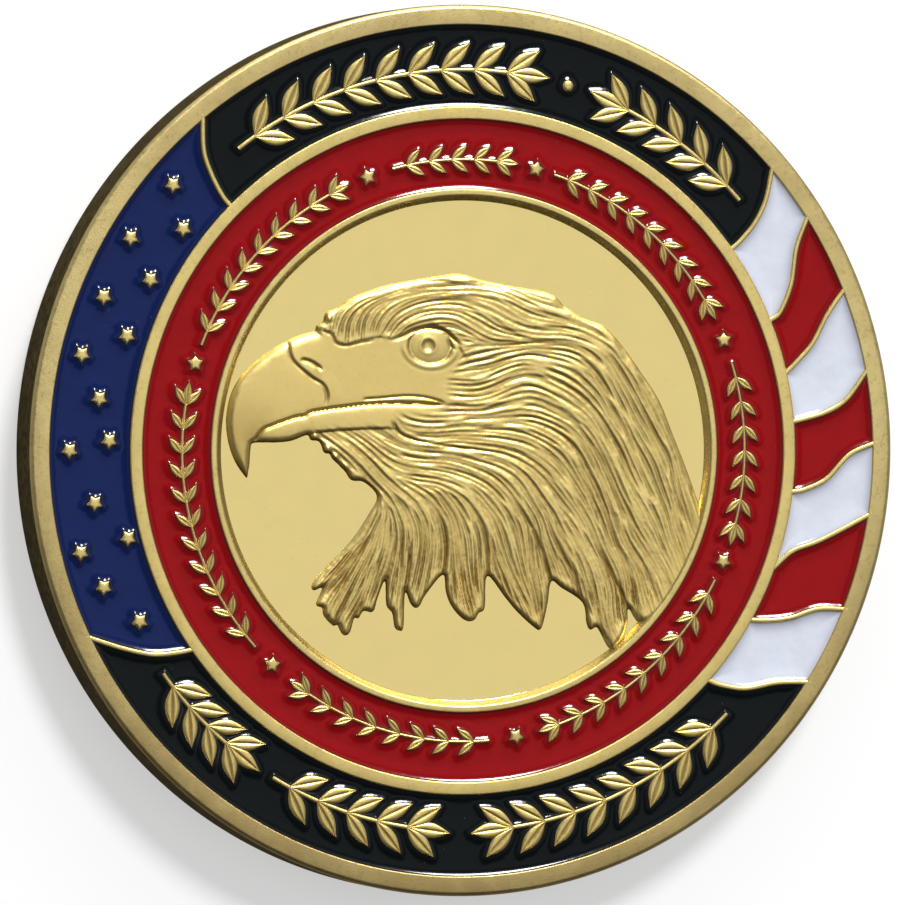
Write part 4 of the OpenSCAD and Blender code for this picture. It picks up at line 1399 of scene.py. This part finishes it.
def add_eye(relief):
    """A ball in lids, wider than high, with a hollow pupil, painted shade on its lower half and in its
    rings.
    """
    x, y = relief.grid.gx, relief.grid.gy
    far = np.hypot(x - EYE_AT[0], (y - EYE_AT[1]) * EYE_SQUASH) / EYE_R
    below = eased(y, *EYE_LOWER)
    ball = np.clip(1 - far**2, 0, 1)
    relief.height = np.where(far < 1, EYE_SOCKET + EYE_RISE * ball, relief.height)
    # Painted shade on the eye's lower half
    relief.painted_shade = np.where(far < 1, EYE_SHADE * below, relief.painted_shade)
    relief.rings(far, EYE_RINGS)
    relief.rings(far, LOWER_LID_RINGS, below)
    from_pupil = np.hypot(x - PUPIL_AT[0], y - PUPIL_AT[1]) / PUPIL_R
    relief.height -= PUPIL_DEPTH * np.clip(1 - from_pupil**2, 0, 1)
    relief.rings(from_pupil, PUPIL_RINGS)


def add_bill(relief, edge):
    """The upper bill overhangs the lower, the jaw the feathers, and the cere stands above the bill."""
    near, side = relief.beside(MOUTH_LINE, 1.0, (0.01, 0.5))
    lower = eased(side, 0.08, -0.16)
    sinks = [depth * np.exp((near - 1) / width) for depth, width in (LOWER_SINK, UPPER_SINK)]
    relief.height -= eased(edge, 0, 0.12) * (lower * sinks[0] + (1 - lower) * sinks[1]) * (near > 0)
    near, side = relief.beside(JAW_LINE, 0.8, (0.3, 0.2))
    relief.height -= JAW_STEP * near * eased(side, 0.1, -0.2)
    near, side = relief.beside(CERE_LINE, 0.7, (0.01, 0.7))
    relief.height += np.where(side > 0, CERE_RISE * near * eased(side, 0, 0.12), -CERE_SINK * near**2)


def add_face(relief, edge, plumage):
    """The face and its details."""
    add_eye(relief)
    add_bill(relief, edge)
    relief.bump(*NOSTRIL_BUMP)
    for groove in GROOVES:
        relief.groove(*groove)
    for knob in KNOBS:
        relief.bump(*knob)
    # Painted shade on the hook of the bill towards its lower left, on top of the bare face's darker tone
    hook = eased(relief.grid.gx, -8.2, -1.6) * eased(relief.grid.gy, 2.4, -2.5)
    relief.darken((FACE_TONE + HOOK_TONE * hook) * eased(plumage, 0.3, -0.6))


def eagle_relief():
    """The eagle's relief, and the distance to its outline, positive inside."""
    grid = Grid(EAGLE_LOW, EAGLE_HIGH, EAGLE_STEP)
    x, y = grid.gx, grid.gy
    edge = grid.signed(eagle_outline(), EAGLE_REACH)
    plumage = -grid.signed(np.vstack([[FACE_START], FACE_EDGE, FACE_END]), EAGLE_REACH)
    brow = eased(y, 3.7, 0.7 + 0.9 * np.maximum(x + 0.6, 0)) * eased(x, 7, -8)
    # From -1 where the wall faces the top of the design to 1 where it faces the foot
    facing = np.gradient(edge, EAGLE_STEP, axis=0)
    upward = eased(facing, 0, -2 / 3)

    relief = Relief(grid)
    relief.height += WALL_H * quarter(edge / (WALL_R * (1 + UPPER_SHARE * upward)))
    relief.height += BILL_H * eased(x, *BILL_X) * quarter(edge / BILL_R)
    relief.height += SWELL_H * (1 - np.exp(-np.maximum(edge, 0) / SWELL_R))
    relief.height += BROW_H * eased(plumage, 0, BROW_STEP) * brow
    add_feathers(relief, edge, plumage, brow)
    add_face(relief, edge, plumage)
    rough = blurred(np.random.default_rng(ROUGH_SEED).normal(size=x.shape), 2)
    relief.height += ROUGH_H * rough * eased(edge, 0, 0.1) * np.where(plumage > 0, 1.0, 0.1)

    # The neck runs up onto the ring
    r = np.hypot(x, y)
    rise = RISE_H - np.minimum(relief.height, RISE_H)
    relief.height += rise * eased(r, *RISE_R) * eased(edge, 0, RISE_EDGE)
    # Outside the outline the surface sinks below the field, so that the contour is cut by it
    outside = np.maximum(edge, -SINK_REACH) * SINK_SLOPE
    relief.height = blurred(np.where(edge < 0, outside, relief.height), 1)
    # Painted shade: cleared from the wall where it faces the top of the design, and added where it faces
    # the foot, except on the ring
    relief.painted_shade *= 1 - upward * (1 - eased(edge, 0, 0.3))
    inland = 1 - eased(r, 10.4, 0.4)
    relief.darken(inland * eased(facing, -0.7, 1) * (1 - eased(edge, 0, 0.2)))
    return relief, edge


def boundary_loops(faces):
    """The loops of edges that only one face uses, in the direction in which it uses them."""
    used = {(a, b) for face in faces for a, b in zip(face, face[1:] + face[:1])}
    following = {a: b for a, b in used if (b, a) not in used}
    loops = []
    while following:
        start, here = following.popitem()
        loop = [start]
        while here != start:
            loop.append(here)
            here = following.pop(here)
        loops.append(loop)
    return loops


def eagle():
    """The relief where it lies inside its outline, closed by a skirt that goes down into the coin."""
    relief, edge = eagle_relief()
    grid = relief.grid
    keep = (edge > -MARGIN) & (np.hypot(grid.gx, grid.gy) < CLIP_R)
    rows, columns = np.nonzero(keep[:-1, :-1] & keep[1:, :-1] & keep[:-1, 1:] & keep[1:, 1:])
    index = np.arange(grid.gx.size).reshape(grid.gx.shape)
    sides = [(0, 0), (0, 1), (1, 1), (1, 0)]
    quads = np.stack([index[rows + down, columns + right] for down, right in sides], 1)
    used, order = np.unique(quads, return_inverse=True)
    faces = [tuple(face) for face in order.reshape(-1, 4).tolist()]
    z = np.minimum(FIELD_Z + relief.height, EAGLE_TOP)
    points = np.column_stack([field.ravel()[used] for field in (grid.gx, grid.gy, z)])
    skirt = []
    for loop in boundary_loops(faces):
        low = [len(points) + len(skirt) + k for k in range(len(loop))]
        skirt += [(points[v][0], points[v][1], SKIRT_Z) for v in loop]
        faces += zip(loop[1:] + loop[:1], loop, low, low[1:] + low[:1])
        faces.append(tuple(low[::-1]))
    painted_shade = np.concatenate([relief.painted_shade.ravel()[used], np.zeros(len(skirt))])
    points = np.vstack([points, skirt])
    add_piece("eagle_relief", points, faces, [FROSTED], ["coin_body"], "gold_metal", painted_shade=painted_shade)


eagle()

# ---------------------------------------------------------------- back

# The back's relief starts this far under its field
BACK_BASE = -0.1
# From the outline inwards: share of the outline, and height above the back's field
BACK_STAR_LEVELS = [(1, BACK_BASE), (1, 0.08), (0.94, 0.16)]
WREATH_PAIRS = 10
WREATH_START = 168
WREATH_PITCH = 15.4
WREATH_STEM_W = BAND_STEM_W * 1.4
WREATH_STEM_SINK = 0.06
WREATH_LEAF_RELIEF = 0.12
WREATH_STAGGER = 0.01
# The wreath's stem: the angles of its ends, and its number of points
WREATH_STEM = (20, 340, 400)
BACK_RING_R = RIM_R - 1.05
BACK_RING_W = 0.3


def back_star():
    """A plain star."""
    star = Solids()
    outline = star_outline(np.zeros(2), (0, 1), BACK_STAR_R, BACK_STAR_SHARE)[::-1]
    star.dome(outline, np.zeros(2), BACK_STAR_LEVELS, BACK_RELIEF)
    star.flipped()
    star.piece("back_star", BACK, flat=True)


def back_wreath():
    """A laurel wreath, open at the top."""
    wreath = Solids()
    for i in range(WREATH_PAIRS):
        for side in (1, -1):
            angle = side * (WREATH_START - i * WREATH_PITCH)
            root = on_circle(angle, WREATH_R)
            for spread, sink in ((LEAF_SPREAD, WREATH_STAGGER), (-LEAF_SPREAD, 0)):
                heading = turned(-side * clockwise(angle), spread)
                wreath.leaf(root, heading, BACK_LEAF, BACK_BASE, BACK_RELIEF - sink, WREATH_LEAF_RELIEF)
    path = on_circle(np.linspace(*WREATH_STEM), WREATH_R)
    wreath.sweep(path, stem_section(WREATH_STEM_W, BACK_BASE, BACK_RELIEF - WREATH_STEM_SINK))
    wreath.flipped()
    wreath.piece("back_wreath", BACK)


def back_ring():
    """A thin ring inside the rim."""
    ring = Solids()
    ring.hoop(BACK_RING_R, stem_section(BACK_RING_W, BACK_BASE, BACK_RELIEF))
    ring.flipped()
    ring.piece("back_ring", BACK)


back_star()
back_wreath()
back_ring()

# ---------------------------------------------------------------- stage

# The view from above the coin's face: angles in degrees, what it aims at and how far away it is, in mm
VIEW_TILT = 14.97
VIEW_AZIMUTH = -177.66
VIEW_ROLL = 4.29
VIEW_AIM = (-0.615, -0.129, 3.0)
VIEW_DISTANCE = 436.84
LENS = 387.62
SENSOR = 36
# The world's glow: an axis, two places along it and the values there
GLOW_ACROSS = ("Y", -0.95, 0.3, 0.05, 0.55)
GLOW_UP = ("Z", 0.4, 0.9, 1.0, 0.55)
GLOW_DOWN = ("Z", -0.85, -0.4, 0.02, 0.5)
HORIZON = ("Z", -0.1, 0.1, 0.0, 1.0)
# Half the floor's width and its height, in metres
FLOOR_HALF = 3.0
FLOOR_Z = -0.00001
PAPER = {
    "Base Color": (0.5, 0.5, 0.5, 1),
    "Emission Color": (1, 1, 1, 1),
    "Emission Strength": 0.5,
    "Roughness": 0.9,
    "Specular IOR Level": 0.1,
}


def direction(azimuth, elevation):
    """The unit vector in a direction, its angles in degrees."""
    a, e = math.radians(azimuth), math.radians(elevation)
    return Vector((math.cos(e) * math.cos(a), math.cos(e) * math.sin(a), math.sin(e)))


def photo_camera():
    """A camera that sees the coin from the photograph's angle."""
    data = bpy.data.cameras.new("camera")
    data.lens, data.sensor_width = LENS, SENSOR
    data.clip_start, data.clip_end = 0.01, 20
    camera = placed("camera", data)
    back = direction(VIEW_AZIMUTH, 90 - VIEW_TILT)
    right = Vector((0, 1, 0)).cross(back).normalized()
    up = back.cross(right)
    turn = Matrix((right, up, back)).transposed() @ Matrix.Rotation(math.radians(VIEW_ROLL), 3, "Z")
    place = (Vector(VIEW_AIM) + back * VIEW_DISTANCE) * MM
    camera.matrix_world = Matrix.Translation(place) @ turn.to_4x4()
    bpy.context.scene.camera = camera


def aimed(light, azimuth, elevation, distance):
    """Puts a light at a distance in a direction, looking back at the coin."""
    away = direction(azimuth, elevation)
    turn = away.to_track_quat("Z", "Y").to_matrix().to_4x4()
    light.matrix_world = Matrix.Translation(away * distance) @ turn


def card(name, azimuth, elevation, distance, width, height, radiance):
    """A rectangle of even light."""
    data = bpy.data.lights.new(name, "AREA")
    data.shape, data.size, data.size_y = "RECTANGLE", width, height
    data.energy = radiance * width * height * math.pi
    aimed(placed(name, data), azimuth, elevation, distance)


def sun(name, azimuth, elevation, strength, spread):
    """Light from far away, soft by its spread in degrees."""
    data = bpy.data.lights.new(name, "SUN")
    data.energy, data.angle = strength, math.radians(spread)
    aimed(placed(name, data), azimuth, elevation, 0)


def studio():
    """Pale to the camera; to the coin a band of light around it, dim behind the foot of the design."""
    world = bpy.data.worlds.new("studio")
    world.use_nodes = True
    tree = world.node_tree
    tree.nodes.clear()

    def add(kind, inputs=None, **settings):
        return add_node(tree, kind, inputs, **settings)

    way = add("ShaderNodeSeparateXYZ", {0: add("ShaderNodeTexCoord").outputs["Generated"]})

    def glow(fade):
        axis, low, high, first, last = fade
        inputs = {"Value": way.outputs[axis], "From Min": low, "From Max": high}
        return add("ShaderNodeMapRange", inputs | {"To Min": first, "To Max": last}).outputs[0]

    above = add("ShaderNodeMath", {0: glow(GLOW_ACROSS), 1: glow(GLOW_UP)}, operation="MULTIPLY")
    around = add("ShaderNodeMix", {0: glow(HORIZON), 2: glow(GLOW_DOWN), 3: above.outputs[0]})
    dim = add("ShaderNodeBackground", {"Strength": around.outputs[0]})
    pale = add("ShaderNodeBackground", {"Strength": 1.0})
    seen = add("ShaderNodeLightPath").outputs["Is Camera Ray"]
    both = add("ShaderNodeMixShader", {0: seen, 1: dim.outputs[0], 2: pale.outputs[0]})
    add("ShaderNodeOutputWorld", {"Surface": both.outputs[0]})
    bpy.context.scene.world = world
    bpy.context.scene.view_settings.view_transform = "Standard"


def paper_floor():
    """The pale floor, which the metal doesn't mirror."""
    mesh = bpy.data.meshes.new("floor")
    corners = [(x * FLOOR_HALF, y * FLOOR_HALF, FLOOR_Z) for x, y in ((-1, -1), (1, -1), (1, 1), (-1, 1))]
    mesh.from_pydata(corners, [], [(0, 1, 2, 3)])
    paper = bpy.data.materials.new("paper")
    paper.use_nodes = True
    for name, value in PAPER.items():
        paper.node_tree.nodes["Principled BSDF"].inputs[name].default_value = value
    mesh.materials.append(paper)
    floor = placed("floor", mesh)
    floor.visible_glossy = False
    floor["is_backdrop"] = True


photo_camera()
studio()
paper_floor()
card("card", azimuth=2.3, elevation=75, distance=0.5, width=0.3, height=0.3, radiance=0.8)
card("low_card", azimuth=80, elevation=19, distance=0.6, width=0.8, height=0.16, radiance=4.2)
sun("key", azimuth=77, elevation=45, strength=2.7, spread=15)

boxes = {"cad": cad_box, "visual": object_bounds()}
{name: [list(corner) for corner in box] for name, box in boxes.items()}
